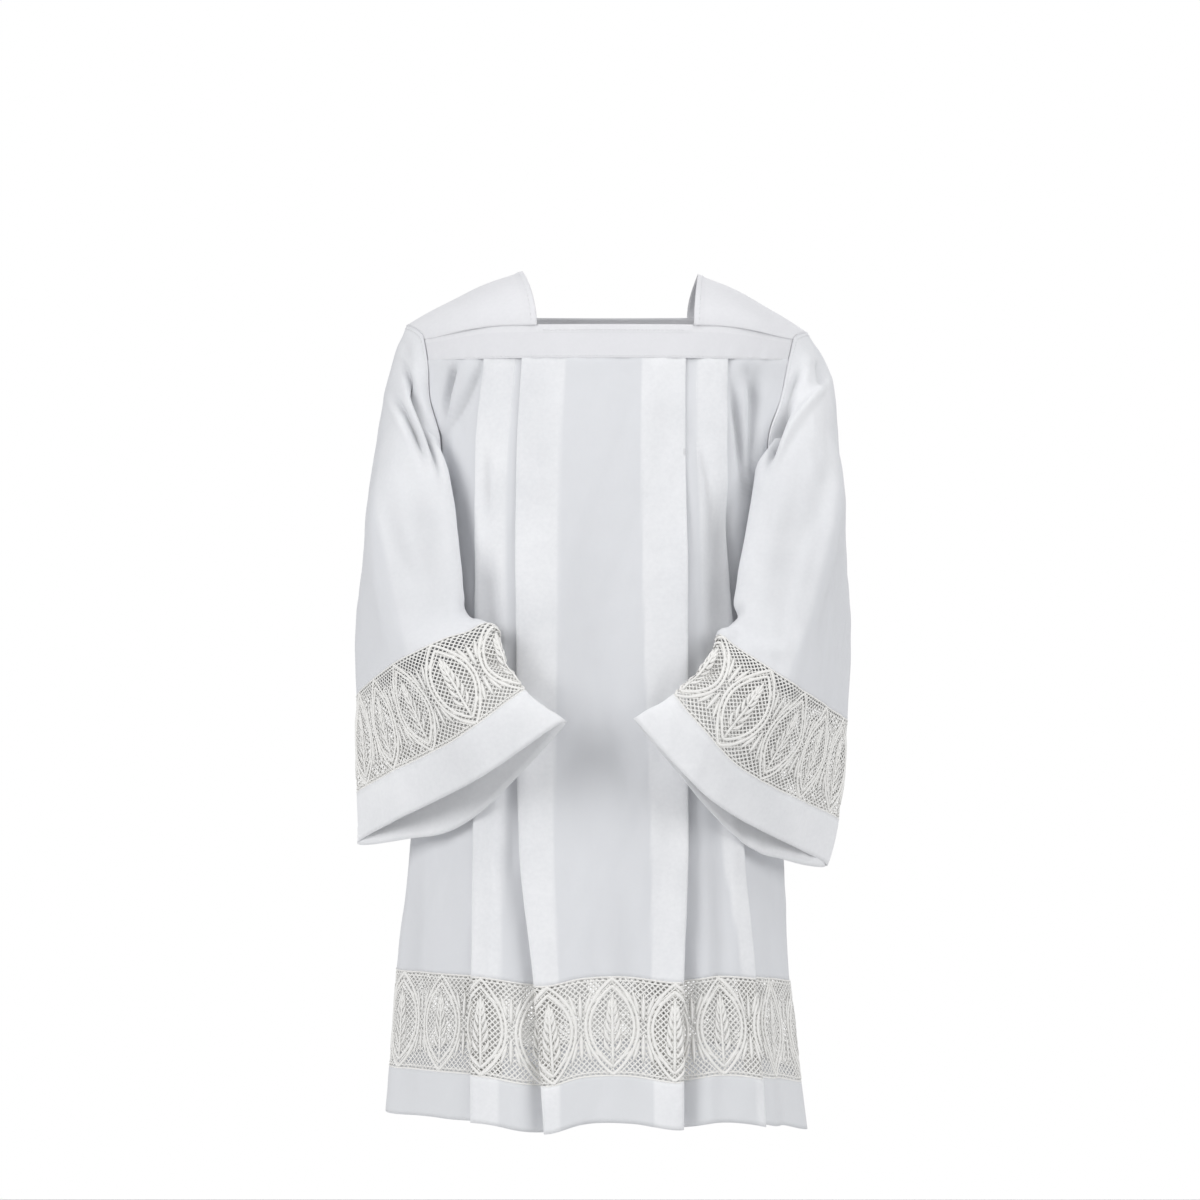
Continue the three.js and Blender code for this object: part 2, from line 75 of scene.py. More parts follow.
# Body sections from the yoke to the hem: the x of both sides, the y of front and back.
BODY = [
    dict(z=-40, left=-207, right=208, front=-92, back=86),
    dict(z=-101, left=-205, right=207, front=-101, back=96),
    dict(z=-180, left=-198, right=196, front=-116, back=108),
    dict(z=-247, left=-186, right=182, front=-124, back=112),
    dict(z=-390, left=-184, right=173, front=-137, back=108),
    dict(z=-600, left=-206, right=182, front=-150, back=118),
    dict(z=-733, left=-219, right=186, front=-160, back=132),
    dict(z=-900, left=-230, right=205, front=-172, back=148),
]

# Four pleats, counted from the wearer's right: the x of each folded edge, how far each
# pleat reaches under itself, the pitch of the layers, how deep the middle face sags in
# and how far the sides wave.
PLEAT_NAMES = ("z", "x1", "x2", "x3", "x4", "under1", "under2", "under3", "under4",
               "pitch", "sag", "wave")
FRONT_PLEATS = [dict(zip(PLEAT_NAMES, row)) for row in (
    (-101, -127, -88, 79, 122, 33, 45, 45, 33, 2.8, 0, 0),
    (-196, -135, -93, 78, 121, 35, 45, 45, 33, 2.8, 0, 0),
    (-389, -134, -92, 78, 125, 34, 42, 43, 32, 3.6, 2, 1),
    (-600, -133, -88, 77, 131, 32, 34, 36, 24, 5.2, 5, 4),
    (-733, -133, -73, 72, 140, 30, 24, 31, 16, 6.6, 8, 6),
    (-900, -133, -61, 71, 150, 28, 14, 27, 9, 8.0, 11, 8),
)]
BACK_PLEATS = [dict(zip(PLEAT_NAMES, row)) for row in (
    (-101, -124, -84, 86, 125, 33, 45, 45, 33, 2.8, 0, 0),
    (-196, -126, -86, 85, 124, 33, 45, 45, 33, 2.8, 0, 0),
    (-389, -131, -86, 80, 124, 32, 42, 42, 32, 3.6, 2, 2),
    (-600, -140, -84, 70, 124, 26, 33, 34, 28, 5.2, 6, 5),
    (-733, -148, -80, 62, 126, 21, 24, 26, 25, 6.6, 9, 7),
    (-900, -158, -74, 56, 132, 14, 16, 18, 22, 8.0, 12, 9),
)]

# Height of a row of each panel's cloth: front (side -1) and back (side 1).
ROW_STEP = {-1: 6, 1: 8}

# Points along a half panel: its side, the face between its two pleats, its middle face,
# and each turn of a fold.
SIDE_STEPS, FACE_STEPS, MIDDLE_STEPS, TURN_STEPS = 54, 25, 30, 8
RELEASE = (-205, -330)      # heights between which the pleats come free of their pressing
EDGE_SPREAD = 20            # how far beside a folded edge its own lift reaches
ARMHOLE_SPREAD = 16         # how far beside the armhole its lift reaches
SEAM_REACH = 26             # how far below the yoke the seam still holds the pleats down

# How far each folded edge stands off the layers under it once it is released.
EDGE_LIFT = {-1: {1: 3.0, 2: 2.5, 3: 6.5, 4: 4.5}, 1: {1: 3.5, 2: 4.5, 3: 3.0, 4: 4.0}}

# How much lower than its mean level the hem hangs at each x.
HEM_FALL = [
    dict(x=-230, fall=0), dict(x=-130, fall=-3), dict(x=-66, fall=6), dict(x=-25, fall=-3),
    dict(x=22, fall=-4), dict(x=70, fall=2), dict(x=110, fall=-3), dict(x=150, fall=2),
    dict(x=206, fall=20),
]

# Where the armhole seam cuts the body section, in degrees round from front or back.
ARMHOLES = [
    dict(z=-60, frontL=66, frontR=66, backL=66, backR=66),
    dict(z=-101, frontL=62, frontR=60.5, backL=61, backR=60),
    dict(z=-140, frontL=62, frontR=58, backL=61, backR=59),
    dict(z=-185, frontL=57.5, frontR=54, backL=60, backR=59),
    dict(z=-222, frontL=65, frontR=63, backL=69, backR=68),
    dict(z=-247, frontL=89.9, frontR=89.9, backL=89.9, backR=89.9),
]

# Shoulders: the neck edge and the shoulder tip at the top, and the x of the neck's
# corners at front and back. Hand 1 is the wearer's left.
SHOULDERS = {
    1: dict(neck=(94, 8, -7), tip=(209, 5, -68), front=87, back=84),
    -1: dict(neck=(-90, 8, -4), tip=(-211, 5, -60), front=-73, back=-76),
}

# Sleeve sections from the armhole to the cuff, each by five points round the sleeve.
SLEEVE_TURN = dict(outer=0, front=0.22, fold=0.4, under=0.54, back=0.78)    # parts of a turn
SLEEVES = {
    -1: [
        dict(outer=(-230, 6, -112), front=(-207, -74, -140), fold=(-169, -84, -205),
             under=(-194, -6, -252), back=(-210, 62, -135)),
        dict(outer=(-241, 8, -170), front=(-220, -90, -195), fold=(-161, -98, -232),
             under=(-196, -10, -262), back=(-226, 68, -192)),
        dict(outer=(-251, 12, -249), front=(-234, -97, -262), fold=(-154, -110, -280),
             under=(-197, -14, -300), back=(-232, 76, -262)),
        dict(outer=(-265, 18, -370), front=(-219, -117, -364), fold=(-143, -124, -360),
             under=(-198, -32, -380), back=(-240, 70, -374)),
        dict(outer=(-264, -8, -450), front=(-201, -142, -405), fold=(-120, -144, -377),
             under=(-184, -82, -424), back=(-234, 22, -440)),
        dict(outer=(-259, -35, -546), front=(-155, -182, -488), fold=(-83, -198, -438),
             under=(-150, -125, -502), back=(-222, -52, -540)),
        dict(outer=(-258, -45, -598), front=(-131, -192, -528), fold=(-42, -205, -470),
             under=(-135, -140, -568), back=(-208, -88, -594)),
    ],
    1: [
        dict(outer=(235, 6, -115), front=(208, -75, -145), fold=(155, -86, -210),
             under=(192, -6, -252), back=(210, 62, -138)),
        dict(outer=(241, 8, -170), front=(214, -92, -188), fold=(149, -99, -234),
             under=(193, -10, -262), back=(224, 68, -190)),
        dict(outer=(247, 12, -249), front=(230, -98, -257), fold=(139, -112, -286),
             under=(192, -14, -300), back=(228, 76, -260)),
        dict(outer=(255, 18, -370), front=(203, -118, -362), fold=(125, -126, -363),
             under=(188, -34, -382), back=(232, 70, -372)),
        dict(outer=(250, -8, -476), front=(186, -142, -434), fold=(115, -144, -389),
             under=(172, -82, -438), back=(222, 22, -462)),
        dict(outer=(238, -35, -574), front=(133, -182, -516), fold=(65, -198, -442),
             under=(128, -125, -522), back=(202, -52, -566)),
        dict(outer=(224, -45, -621), front=(107, -192, -552), fold=(25, -205, -467),
             under=(122, -142, -582), back=(184, -90, -616)),
    ],
}
ARMHOLE, LACE_START, LACE_END, CUFF = 0, 5, 6, 7        # places along a sleeve
LAP_PLACE = 0.02            # how far the cuff lace laps the cloth, as part of a place
AROUND = 210                # points round a sleeve
SLEEVE_HEAD = 2.2           # place down to which a sleeve's rings lie closer together
CLEAR_FROM = 2.6            # place from which a sleeve keeps its whole distance from the body
HELD_TO = 0.5               # place up to which the armhole seam holds the creases flat
FULL_SHADE_DEPTH = 14                # depth of a crease at which its painted shade is full

# Main creases, each a soft trough (height below 0) or ridge between two places seen from the front or
# from the back, bowed sideways by bow. x and z are where it starts and ends. Troughs also get painted
# shade, fuller the deeper they are.
CREASE_NAMES = ("side", "x0", "z0", "x1", "z1", "bow", "height", "wide")
BODY_CREASES = [dict(zip(CREASE_NAMES, row)) for row in (
    (-1, -156, -102, -169, -166, 3, -10.5, 3.4),
    (-1, -129, -104, -172, -180, -4, -6.0, 4.0),
    (-1, -143, -106, -168, -160, 0, 3.0, 5.0),
    (-1, -168, -160, -162, -250, 2, -2.6, 7.0),
    (-1, -124, -196, -124, -270, 0, -3.6, 3.5),
    (-1, -150, -230, -140, -330, 3, -2.6, 9.0),
    (-1, 126, -128, 140, -246, -3, -10.0, 4.4),
    (-1, 154, -112, 150, -240, 3, -9.0, 6.0),
    (-1, 139, -112, 145, -220, -2, 3.0, 5.0),
    (-1, 143, -102, 155, -150, 4, -4.0, 6.0),
    (-1, 93, -186, 108, -300, -2, -3.6, 4.0),
    (-1, 99, -176, 118, -262, -3, 2.4, 7.0),
    (-1, 84, -196, 80, -380, 0, 3.0, 9.0),
    (-1, -74, -112, -60, -240, 4, -1.2, 14.0),
    (-1, 58, -118, 44, -262, -4, -1.2, 12.0),
    (-1, -20, -250, -34, -640, 4, -2.4, 26.0),
    (-1, 34, -300, 44, -700, -3, 2.4, 18.0),
    (-1, -2, -420, 22, -560, 6, -1.4, 13.0),
    (-1, 12, -640, 24, -880, 2, -3.0, 12.0),
    (-1, -24, -600, -30, -860, -2, 2.4, 12.0),
    # These two broad troughs beside the sleeves carry painted shade standing in for the sleeves' shadow
    # on the body.
    (-1, 118, -240, 110, -420, 0, -13.0, 15.0),
    (-1, -128, -300, -118, -430, 0, -9.0, 12.0),
    (-1, -100, -480, -96, -760, 2, -2.4, 9.0),
    (-1, -112, -560, -118, -860, 3, 2.6, 8.0),
    (-1, -168, -560, -178, -880, 2, 4.0, 14.0),
    (-1, -196, -590, -204, -880, 0, -3.5, 12.0),
    (-1, 106, -560, 112, -860, -3, -3.4, 8.0),
    (-1, 126, -540, 132, -800, 2, 2.4, 8.0),
    (-1, 158, -600, 172, -880, 2, 3.5, 12.0),
    (1, -150, -106, -166, -190, 3, -7.0, 5.0),
    (1, -134, -108, -160, -200, -4, -4.0, 6.0),
    (1, 148, -106, 160, -196, -3, -7.0, 5.0),
    (1, 130, -110, 156, -210, 4, -4.0, 6.0),
    (1, -20, -130, -12, -420, 5, -2.2, 22.0),
    (1, 36, -220, 24, -640, -4, 2.4, 20.0),
    (1, -104, -300, -112, -700, 3, -3.0, 9.0),
    (1, 104, -260, 96, -620, -2, -2.8, 9.0),
    (1, -30, -600, -44, -880, 2, 3.0, 14.0),
    (1, 20, -560, 12, -880, -2, -3.2, 12.0),
    (1, -186, -560, -196, -880, 2, 4.0, 15.0),
    (1, 164, -540, 176, -880, -2, 4.0, 14.0),
)]
SLEEVE_CREASES = {
    -1: [dict(zip(CREASE_NAMES, row)) for row in (
        (-1, -214, -104, -171, -224, -4, -17.0, 3.8),
        (-1, -200, -138, -174, -190, 1, -9.0, 3.4),
        (-1, -206, -120, -179, -196, -3, 5.0, 3.6),
        (-1, -227, -134, -184, -214, -4, -11.0, 4.8),
        (-1, -238, -126, -202, -192, -4, 5.0, 6.0),
        (-1, -218, -66, -206, -112, -3, -2.5, 5.0),
        (-1, -247, -225, -214, -420, 6, 6.0, 11.0),
        (-1, -196, -240, -176, -372, -5, -4.0, 15.0),
        (-1, -226, -250, -190, -340, 5, -2.5, 9.0),
        (0, -146, -352, -96, -376, 2, -8.0, 6.0),
        (0, -142, -372, -98, -394, -2, 7.0, 6.5),
        (0, -128, -400, -92, -418, 2, -7.0, 5.5),
        (-1, -150, -384, -196, -396, -4, 3.5, 8.0),
        (-1, -112, -404, -164, -446, 3, -3.5, 8.0),
        (-1, -228, -440, -208, -600, -4, 3.5, 14.0),
        (-1, -176, -440, -128, -560, 4, -2.5, 16.0),
        (1, -226, -120, -214, -300, 4, -7.0, 7.0),
        (1, -236, -220, -222, -430, -4, 4.0, 14.0),
        (1, -214, -330, -238, -400, 3, -4.0, 8.0),
        (1, -204, -90, -196, -220, -4, -5.0, 6.0),
    )],
    1: [dict(zip(CREASE_NAMES, row)) for row in (
        (-1, 199, -112, 168, -198, 6, -16.0, 4.6),
        (-1, 189, -138, 160, -226, 2, -12.0, 4.6),
        (-1, 232, -118, 158, -232, 7, 8.0, 4.6),
        (-1, 220, -98, 222, -130, 0, -7.0, 4.0),
        (-1, 187, -96, 181, -128, 3, -7.0, 4.0),
        (-1, 208, -92, 204, -136, 2, 3.0, 6.0),
        (-1, 242, -196, 190, -424, -6, 6.0, 9.0),
        (-1, 196, -236, 170, -380, 5, -4.0, 15.0),
        (-1, 222, -200, 196, -300, -4, -3.0, 8.0),
        (0, 136, -356, 88, -384, -2, -8.0, 6.0),
        (0, 132, -380, 86, -402, 2, 8.0, 6.5),
        (0, 118, -410, 78, -428, -2, -7.0, 5.5),
        (-1, 140, -392, 188, -400, 4, 3.5, 8.0),
        (-1, 106, -412, 150, -456, -3, -3.5, 8.0),
        (-1, 206, -470, 182, -610, 4, 3.0, 14.0),
        (-1, 152, -450, 96, -540, -4, -2.5, 16.0),
        (1, 226, -120, 212, -300, -4, -7.0, 7.0),
        (1, 234, -220, 218, -440, 4, 4.0, 14.0),
        (1, 212, -320, 232, -396, -3, -4.0, 8.0),
        (1, 204, -90, 196, -220, 4, -5.0, 6.0),
    )],
}

# Painted shade on the sleeves: where the sleeve's front, painted whiter as it faces the lights, gives
# way to its outer side, left darker as painted shade: the distance from the middle at each height.
SLEEVE_SHADE_EDGE = {
    -1: [dict(z=-150, x=236), dict(z=-200, x=238), dict(z=-251, x=237), dict(z=-330, x=221),
         dict(z=-405, x=204), dict(z=-470, x=196)],
    1: [dict(z=-150, x=238), dict(z=-204, x=237), dict(z=-287, x=223), dict(z=-369, x=202),
        dict(z=-418, x=184), dict(z=-470, x=170)],
}

# Faint rumples all over: the waves' lengths across and down, their slant and phase.
RUMPLES = [
    dict(across=64, down=210, phase=0.3, height=0.70),
    dict(across=-41, down=150, phase=1.9, height=0.50),
    dict(across=29, down=96, phase=4.1, height=0.30),
    dict(across=-23, down=61, phase=2.6, height=0.22),
    dict(across=118, down=47, phase=5.2, height=0.20),
    dict(across=88, down=-33, phase=0.9, height=0.12),
]

# Sewing: a stitch and the bar across the third pleat, where its stitching ends.
STITCH = dict(length=2.6, gap=1.5, width=0.75, height=0.5, out=0.42)
BARTACK = dict(x=78, z=-195, wide=4.5, tall=6.0)
LINE_STEP = 3.0             # from point to point along a line of sewing

# The lace. The net's threads lie NET["spacing"] apart. A cell is one oval with the space
# beside it: its two cords, how much smaller the inner one is, and the foot of the ear in it.
NET = dict(spacing=4.15, wide=1.6, thick=0.85, inset=0.6, knot=1.5, knot_thick=1.1)
CELL = dict(wide=64, tall=97, oval=27.0, oval_top=2.2, cord=3.1, cord_thick=1.9, inner=4.3,
            inner_top=7.4, foot=86.0)
EDGE_CORDS = [dict(inset=0.6, wide=3.0, out=0.35), dict(inset=4.4, wide=1.6, out=0.2)]
LACE_SHIFT = {-1: 20, 1: -12}       # from the middle of each panel to the middle of an oval
CUFF_LACE_SHIFT = 20        # from the start of each cuff's ring to the middle of an oval
LEAF_PROFILE = np.array([0.3, 0.78, 1.0, 0.95, 0.62, 0.2])

# Leaves of the spaces between the ovals, from the waist up: where each starts beside and
# above the waist, its turn in degrees, length and width.
FAN = [
    dict(x=0, y=8, turn=0, long=29, wide=4.6),
    dict(x=4.2, y=17, turn=15, long=24, wide=4.2),
    dict(x=8.6, y=25, turn=31, long=19, wide=3.9),
    dict(x=14.5, y=32, turn=48, long=15, wide=3.6),
]
# Grains of the ear inside an oval, from its foot up: height up the stem, turn and length.
EAR = [
    dict(y=18, turn=58, long=15), dict(y=27, turn=48, long=16), dict(y=36, turn=42, long=15),
    dict(y=45, turn=36, long=13), dict(y=53, turn=30, long=11), dict(y=60, turn=22, long=9),
]

# The studio: the floor in millimetres, the lights in metres and watts, and the view.
FLOOR = dict(z=-1450, half=3000)
LIGHTS = [
    dict(name="key", place=(-3.0, -2.4, 1.1), target=(0, 0, -0.45), size=2.2, power=70),
    dict(name="fill", place=(3.1, -2.4, 0.9), target=(0, 0, -0.45), size=2.2, power=48),
    dict(name="back", place=(0.8, 3.6, 1.4), target=(0, 0, -0.45), size=2.2, power=44),
    dict(name="top", place=(0.9, -0.8, 2.8), target=(0, 0, -0.3), size=1.8, power=25),
]
VIEW = dict(x=-8.4, z=-348.6, distance=4000, width=1260)


# ---------------------------------------------------------------- curves through rows

def smooth(knots, values, t):
    """Value at t of the cubic curve through (knots, values), whose slope at each knot is
    that from the knot before to the knot after."""
    knots, values, t = (np.asarray(a, float) for a in (knots, values, t))
    last = len(knots) - 1
    order = np.arange(last + 1)
    before, after = np.maximum(order - 1, 0), np.minimum(order + 1, last)
    tail = (1,) * (values.ndim - 1)
    slope = (values[after] - values[before]) / (knots[after] - knots[before]).reshape((-1,) + tail)
    i = np.clip(np.searchsorted(knots, t, side="right") - 1, 0, last - 1)
    span = knots[i + 1] - knots[i]
    u = ((t - knots[i]) / span).reshape(t.shape + tail)
    span = span.reshape(t.shape + tail)
    return ((2 * u ** 3 - 3 * u ** 2 + 1) * values[i] + (u ** 3 - 2 * u ** 2 + u) * span * slope[i]
            + (3 * u ** 2 - 2 * u ** 3) * values[i + 1] + (u ** 3 - u ** 2) * span * slope[i + 1])


def column(table, name, z):
    """One column of a table of rows by falling height, at height z."""
    return smooth([-row["z"] for row in table], [row[name] for row in table], -np.asarray(z, float))


def rise(start, end, value):
    """0 up to start, 1 from end, and a smooth step between them."""
    t = np.clip((np.asarray(value, float) - start) / (end - start), 0, 1)
    return t * t * (3 - 2 * t)


def mix(a, b, t):
    """From a at 0 to b at 1 in a straight line."""
    return a + (b - a) * t


def rumple(across, down):
    """A few crossed waves of uneven length, for cloth that was never pressed quite flat."""
    total = 0
    for row in RUMPLES:
        turn = 2 * math.pi * (across / row["across"] + down / row["down"]) + row["phase"]
        swell = 0.6 + 0.4 * np.sin(turn / 3.7 + 2 * row["phase"])
        total = total + row["height"] * swell * np.sin(turn)
    return total


# ---------------------------------------------------------------- the body section

def hem_fall(x, z):
    """How far a point drops at x: the hem's own fall there, from the underarm to the hem."""
    fall = smooth([row["x"] for row in HEM_FALL], [row["fall"] for row in HEM_FALL], x)
    return fall * (1 - rise(HEM, UNDERARM, z))


def crease_height(rows, side, x, z):
    """Sum of the creases of one side: each is its height times a bell across its bowed
    line, fading at both ends."""
    total = np.zeros(np.broadcast(x, z).shape)
    for row in rows:
        if row["side"] != side:
            continue
        dx, dz = row["x1"] - row["x0"], row["z1"] - row["z0"]
        length = math.hypot(dx, dz)
        along = ((x - row["x0"]) * dx + (z - row["z0"]) * dz) / length ** 2
        across = ((x - row["x0"]) * dz - (z - row["z0"]) * dx) / length
        across = across - row["bow"] * 4 * along * (1 - along)
        fade = rise(-0.12, 0.3, along) * (1 - rise(0.5, 1.15, along))
        total += row["height"] * fade * np.exp(-(across / row["wide"]) ** 2)
    return total


def body_point(side, z, angle, lift=0.0):
    """Point on the rounded section at height z, turned by angle from the front (side -1)
    or the back (side 1) and moved out by lift: x and y are powers of sine and cosine."""
    z, angle, lift = np.broadcast_arrays(*(np.asarray(a, float) for a in (z, angle, lift)))
    left, right = column(BODY, "left", z), column(BODY, "right", z)
    depth = np.abs(column(BODY, "front" if side < 0 else "back", z))
    half = (right - left) / 2
    across = np.sign(angle) * np.abs(np.sin(angle)) ** (2 / ROUNDNESS)
    along = np.maximum(np.cos(angle), 0) ** (2 / ROUNDNESS)
    nx = np.sign(across) * np.abs(across) ** (ROUNDNESS - 1) / half
    ny = along ** (ROUNDNESS - 1) / depth
    size = np.hypot(nx, ny)
    x = (left + right) / 2 + half * across + lift * nx / size
    y = side * (depth * along + lift * ny / size)
    return np.stack([x, y, z - hem_fall(x, z)], -1)


def armhole_angle(side, hand, z):
    """Angle of the body section where a panel ends: the armhole seam, or the side seam
    straight below it."""
    name = ("front" if side < 0 else "back") + ("L" if hand < 0 else "R")
    cut = np.radians(column(ARMHOLES, name, np.maximum(z, UNDERARM)))
    return hand * np.where(np.asarray(z) <= UNDERARM, math.pi / 2, cut)


def armhole_lift(z):
    """How far the armhole's edge stands off the section: the yoke's own lift, running out
    at the underarm, where the side seam starts."""
    return YOKE_LIFT * rise(UNDERARM + 2, UNDERARM + 34, z)


class Ruler:
    """The section's own length from its middle at each height, tabulated by angle, so
    that the angle at a given length and the length at a given x can be read from it."""

    ANGLES = 289

    def __init__(self, side, z):
        self.angles = np.linspace(-math.pi / 2, math.pi / 2, self.ANGLES)
        points = body_point(side, z[:, None], self.angles[None, :])
        step = np.hypot(np.diff(points[..., 0]), np.diff(points[..., 1]))
        run = np.concatenate([np.zeros((len(z), 1)), np.cumsum(step, 1)], 1)
        self.run = run - run[:, [self.ANGLES // 2]]
        self.x = points[..., 0]

    def read(self, value, source, target):
        """Values of the target table where the source table has the given values, row by
        row; a table of one row holds for all."""
        value = np.asarray(value, float)
        rows = np.broadcast_to(value, (len(self.run),) + value.shape[1:])
        pick = lambda table, r: table if table.ndim == 1 else table[r]
        return np.stack([np.interp(rows[r], pick(source, r), pick(target, r))
                         for r in range(len(self.run))])

    def run_at_x(self, x):
        return self.read(x, self.x, self.run)

    def run_at_angle(self, angle):
        return self.read(angle, self.angles, self.run)

    def angle_at_run(self, run):
        return self.read(run, self.run, self.angles)


# ---------------------------------------------------------------- meshes from grids

def make_object(name, points, faces):
    """A smooth-shaded object from points in millimetres and a list of faces."""
    mesh = bpy.data.meshes.new(name)
    mesh.from_pydata((points * MM).tolist(), [], faces)
    mesh.polygons.foreach_set("use_smooth", [True] * len(mesh.polygons))
    piece = bpy.data.objects.new(name, mesh)
    bpy.context.scene.collection.objects.link(piece)
    return piece


def grid_faces(rows, cols, ring=False):
    """Quads of a grid of points in rows; a ring joins its last column to its first."""
    r, c = np.meshgrid(np.arange(rows - 1), np.arange(cols if ring else cols - 1), indexing="ij")
    after = (c + 1) % cols
    quads = [r * cols + c, (r + 1) * cols + c, (r + 1) * cols + after, r * cols + after]
    return np.stack(quads, -1).reshape(-1, 4)


def grid_normals(grid, ring=False):
    """Unit normals of a grid: the cross product of the steps along its rows and columns."""
    if ring:
        across = np.roll(grid, -1, 1) - np.roll(grid, 1, 1)
    else:
        across = np.gradient(grid, axis=1)
    normal = np.cross(np.gradient(grid, axis=0), across)
    return normal / np.maximum(np.linalg.norm(normal, axis=-1, keepdims=True), TINY)


def run_lengths(grid):
    """Mean length run along the rows up to each column."""
    step = np.linalg.norm(np.diff(grid, axis=1), axis=-1).mean(0)
    return np.concatenate([[0], np.cumsum(step)])


def cloth_piece(name, grid, plies_and_shade=None, painted_fold_shade=None, ring=False, outward=1):
    """A thin cloth shell on a grid of points, with its own along-and-down map in metres, the number of
    layers that show through at each point, which on the sleeves also paints shade on their outer sides,
    and how much painted shade darkens each point in a deep fold."""
    rows, cols = grid.shape[:2]
    faces = grid_faces(rows, cols, ring)
    if outward < 0:
        faces = faces[:, ::-1]
    piece = make_object(name, grid.reshape(-1, 3), faces.tolist())
    mesh = piece.data
    closed = np.concatenate([grid, grid[:, :1]], 1) if ring else grid
    along = run_lengths(closed)
    down = run_lengths(grid.transpose(1, 0, 2))
    corner = np.zeros(len(mesh.loops), int)
    mesh.loops.foreach_get("vertex_index", corner)
    u, v = along[corner % cols], down[corner // cols]
    if ring:
        first = (corner % cols == 0).reshape(-1, 4)
        wraps = first & ((corner % cols).reshape(-1, 4).max(1, keepdims=True) == cols - 1)
        u = np.where(wraps.reshape(-1), along[-1], u)
    layer = mesh.uv_layers.new(name="cloth")
    layer.data.foreach_set("uv", np.stack([u, v], -1).reshape(-1) * MM)
    shown = np.ones(rows * cols) if plies_and_shade is None else np.asarray(plies_and_shade, float).reshape(-1)
    mesh.attributes.new("plies_and_shade", "FLOAT", "POINT").data.foreach_set("value", shown)
    fold_shade_values = np.zeros(rows * cols) if painted_fold_shade is None else np.clip(painted_fold_shade, 0, 1).reshape(-1)
    mesh.attributes.new("painted_fold_shade", "FLOAT", "POINT").data.foreach_set("value", fold_shade_values)
    shell = piece.modifiers.new("thickness", "SOLIDIFY")
    shell.thickness = CLOTH * MM
    shell.offset = 0
    return piece


# ---------------------------------------------------------------- pleated panels

def pleat_half(ruler, side, hand, z, table):
    """The cloth's path from the side of a panel to its middle, as runs, lifts and layers
    showing, each an array of rows by stations. At each pleat the cloth runs under the
    folded edge, turns round a half circle, runs back and turns again."""
    outer, inner = (1, 2) if hand < 0 else (4, 3)
    cell = lambda name: column(table, name, z)[:, None]
    pitch = cell("pitch") * mix(PRESSED, 1, rise(-250, -800, z[:, None]))
    turn = pitch / 2
    edge = np.abs(ruler.run_at_angle(armhole_angle(side, hand, z)))[:, None] - SEAM
    at_x = lambda name: ruler.run_at_x(column(table, name, z))[:, None] * hand
    runs, lifts, plies_and_shade = [], [], []

    def add(run, lift, layers):
        """One stretch of the path."""
        shape = np.broadcast(run, lift, layers).shape
        for store, value in ((runs, run), (lifts, lift), (plies_and_shade, layers)):
            store.append(np.broadcast_to(value, shape))

    outer_at, outer_under = at_x(f"x{outer}"), cell(f"under{outer}")
    inner_at, inner_under = at_x(f"x{inner}"), cell(f"under{inner}")
    t = np.linspace(0, 1, SIDE_STEPS)[None, :-1]
    wave = smooth([0, 0.08, 0.3, 0.56, 0.8, 1], [0, 0, 1, -0.7, 0.5, 0], t)
    add(mix(edge, outer_at - outer_under + turn, t), cell("wave") * wave, 1)

    def fold(at, under):
        """Round the hidden turn, back under the edge and round the edge itself."""
        half_turn = np.linspace(0, math.pi, TURN_STEPS)[None, :]
        add(at - under + turn - turn * np.sin(half_turn), turn * (1 - np.cos(half_turn)), 3)
        back = np.linspace(0, 1, TURN_STEPS)[None, 1:-1]
        add(mix(at - under + turn, at - turn, back), pitch + 0 * back, 3)
        add(at - turn + turn * np.sin(half_turn), pitch + turn * (1 - np.cos(half_turn)), 3)

    def show(run, at, under):
        """Three layers show up to the reach of the pleat under its edge, then one."""
        return 1 + 2 * rise(-1.5, 1.5, run - (at - under))

    fold(outer_at, outer_under)
    t = np.linspace(0, 1, FACE_STEPS)[None, 1:-1]
    run = mix(outer_at - turn, inner_at - inner_under + turn, t)
    drop = rise(-4, 26, run - inner_at - turn)
    add(run, 2 * pitch * drop, show(run, outer_at, outer_under))
    fold(inner_at, inner_under)
    t = np.linspace(0, 1, MIDDLE_STEPS)[None, 1:]
    run = mix(inner_at - turn, 0, t)
    add(run, 2 * pitch - cell("sag") * np.sin(t * math.pi / 2) ** 2, show(run, inner_at, inner_under))

    run, lift, shown = (np.concatenate(part, 1) for part in (runs, lifts, plies_and_shade))
    at_seam = rise(YOKE_SEAM - SEAM_REACH, YOKE_SEAM, z[:, None])
    beside = rise(1, 9, run - outer_at)
    lift = lift + at_seam * (SEAM_LEVEL - 2 * pitch + 2 * pitch * beside)
    to_edge = np.exp(-((edge - run) / ARMHOLE_SPREAD) ** 2)
    lift = lift + (armhole_lift(z[:, None]) - at_seam * SEAM_LEVEL) * to_edge
    lift = lift - TUCK_DROP * rise(YOKE_SEAM, YOKE_SEAM + TUCK, z[:, None])
    free = rise(*RELEASE, z[:, None])
    for number, at in ((outer, outer_at), (inner, inner_at)):
        height = np.clip(lift / (2 * pitch), 0, 1)
        beside = np.exp(-((run - at) / EDGE_SPREAD) ** 2)
        lift = lift + EDGE_LIFT[side][number] * free * height * beside
    return run * hand, lift, shown


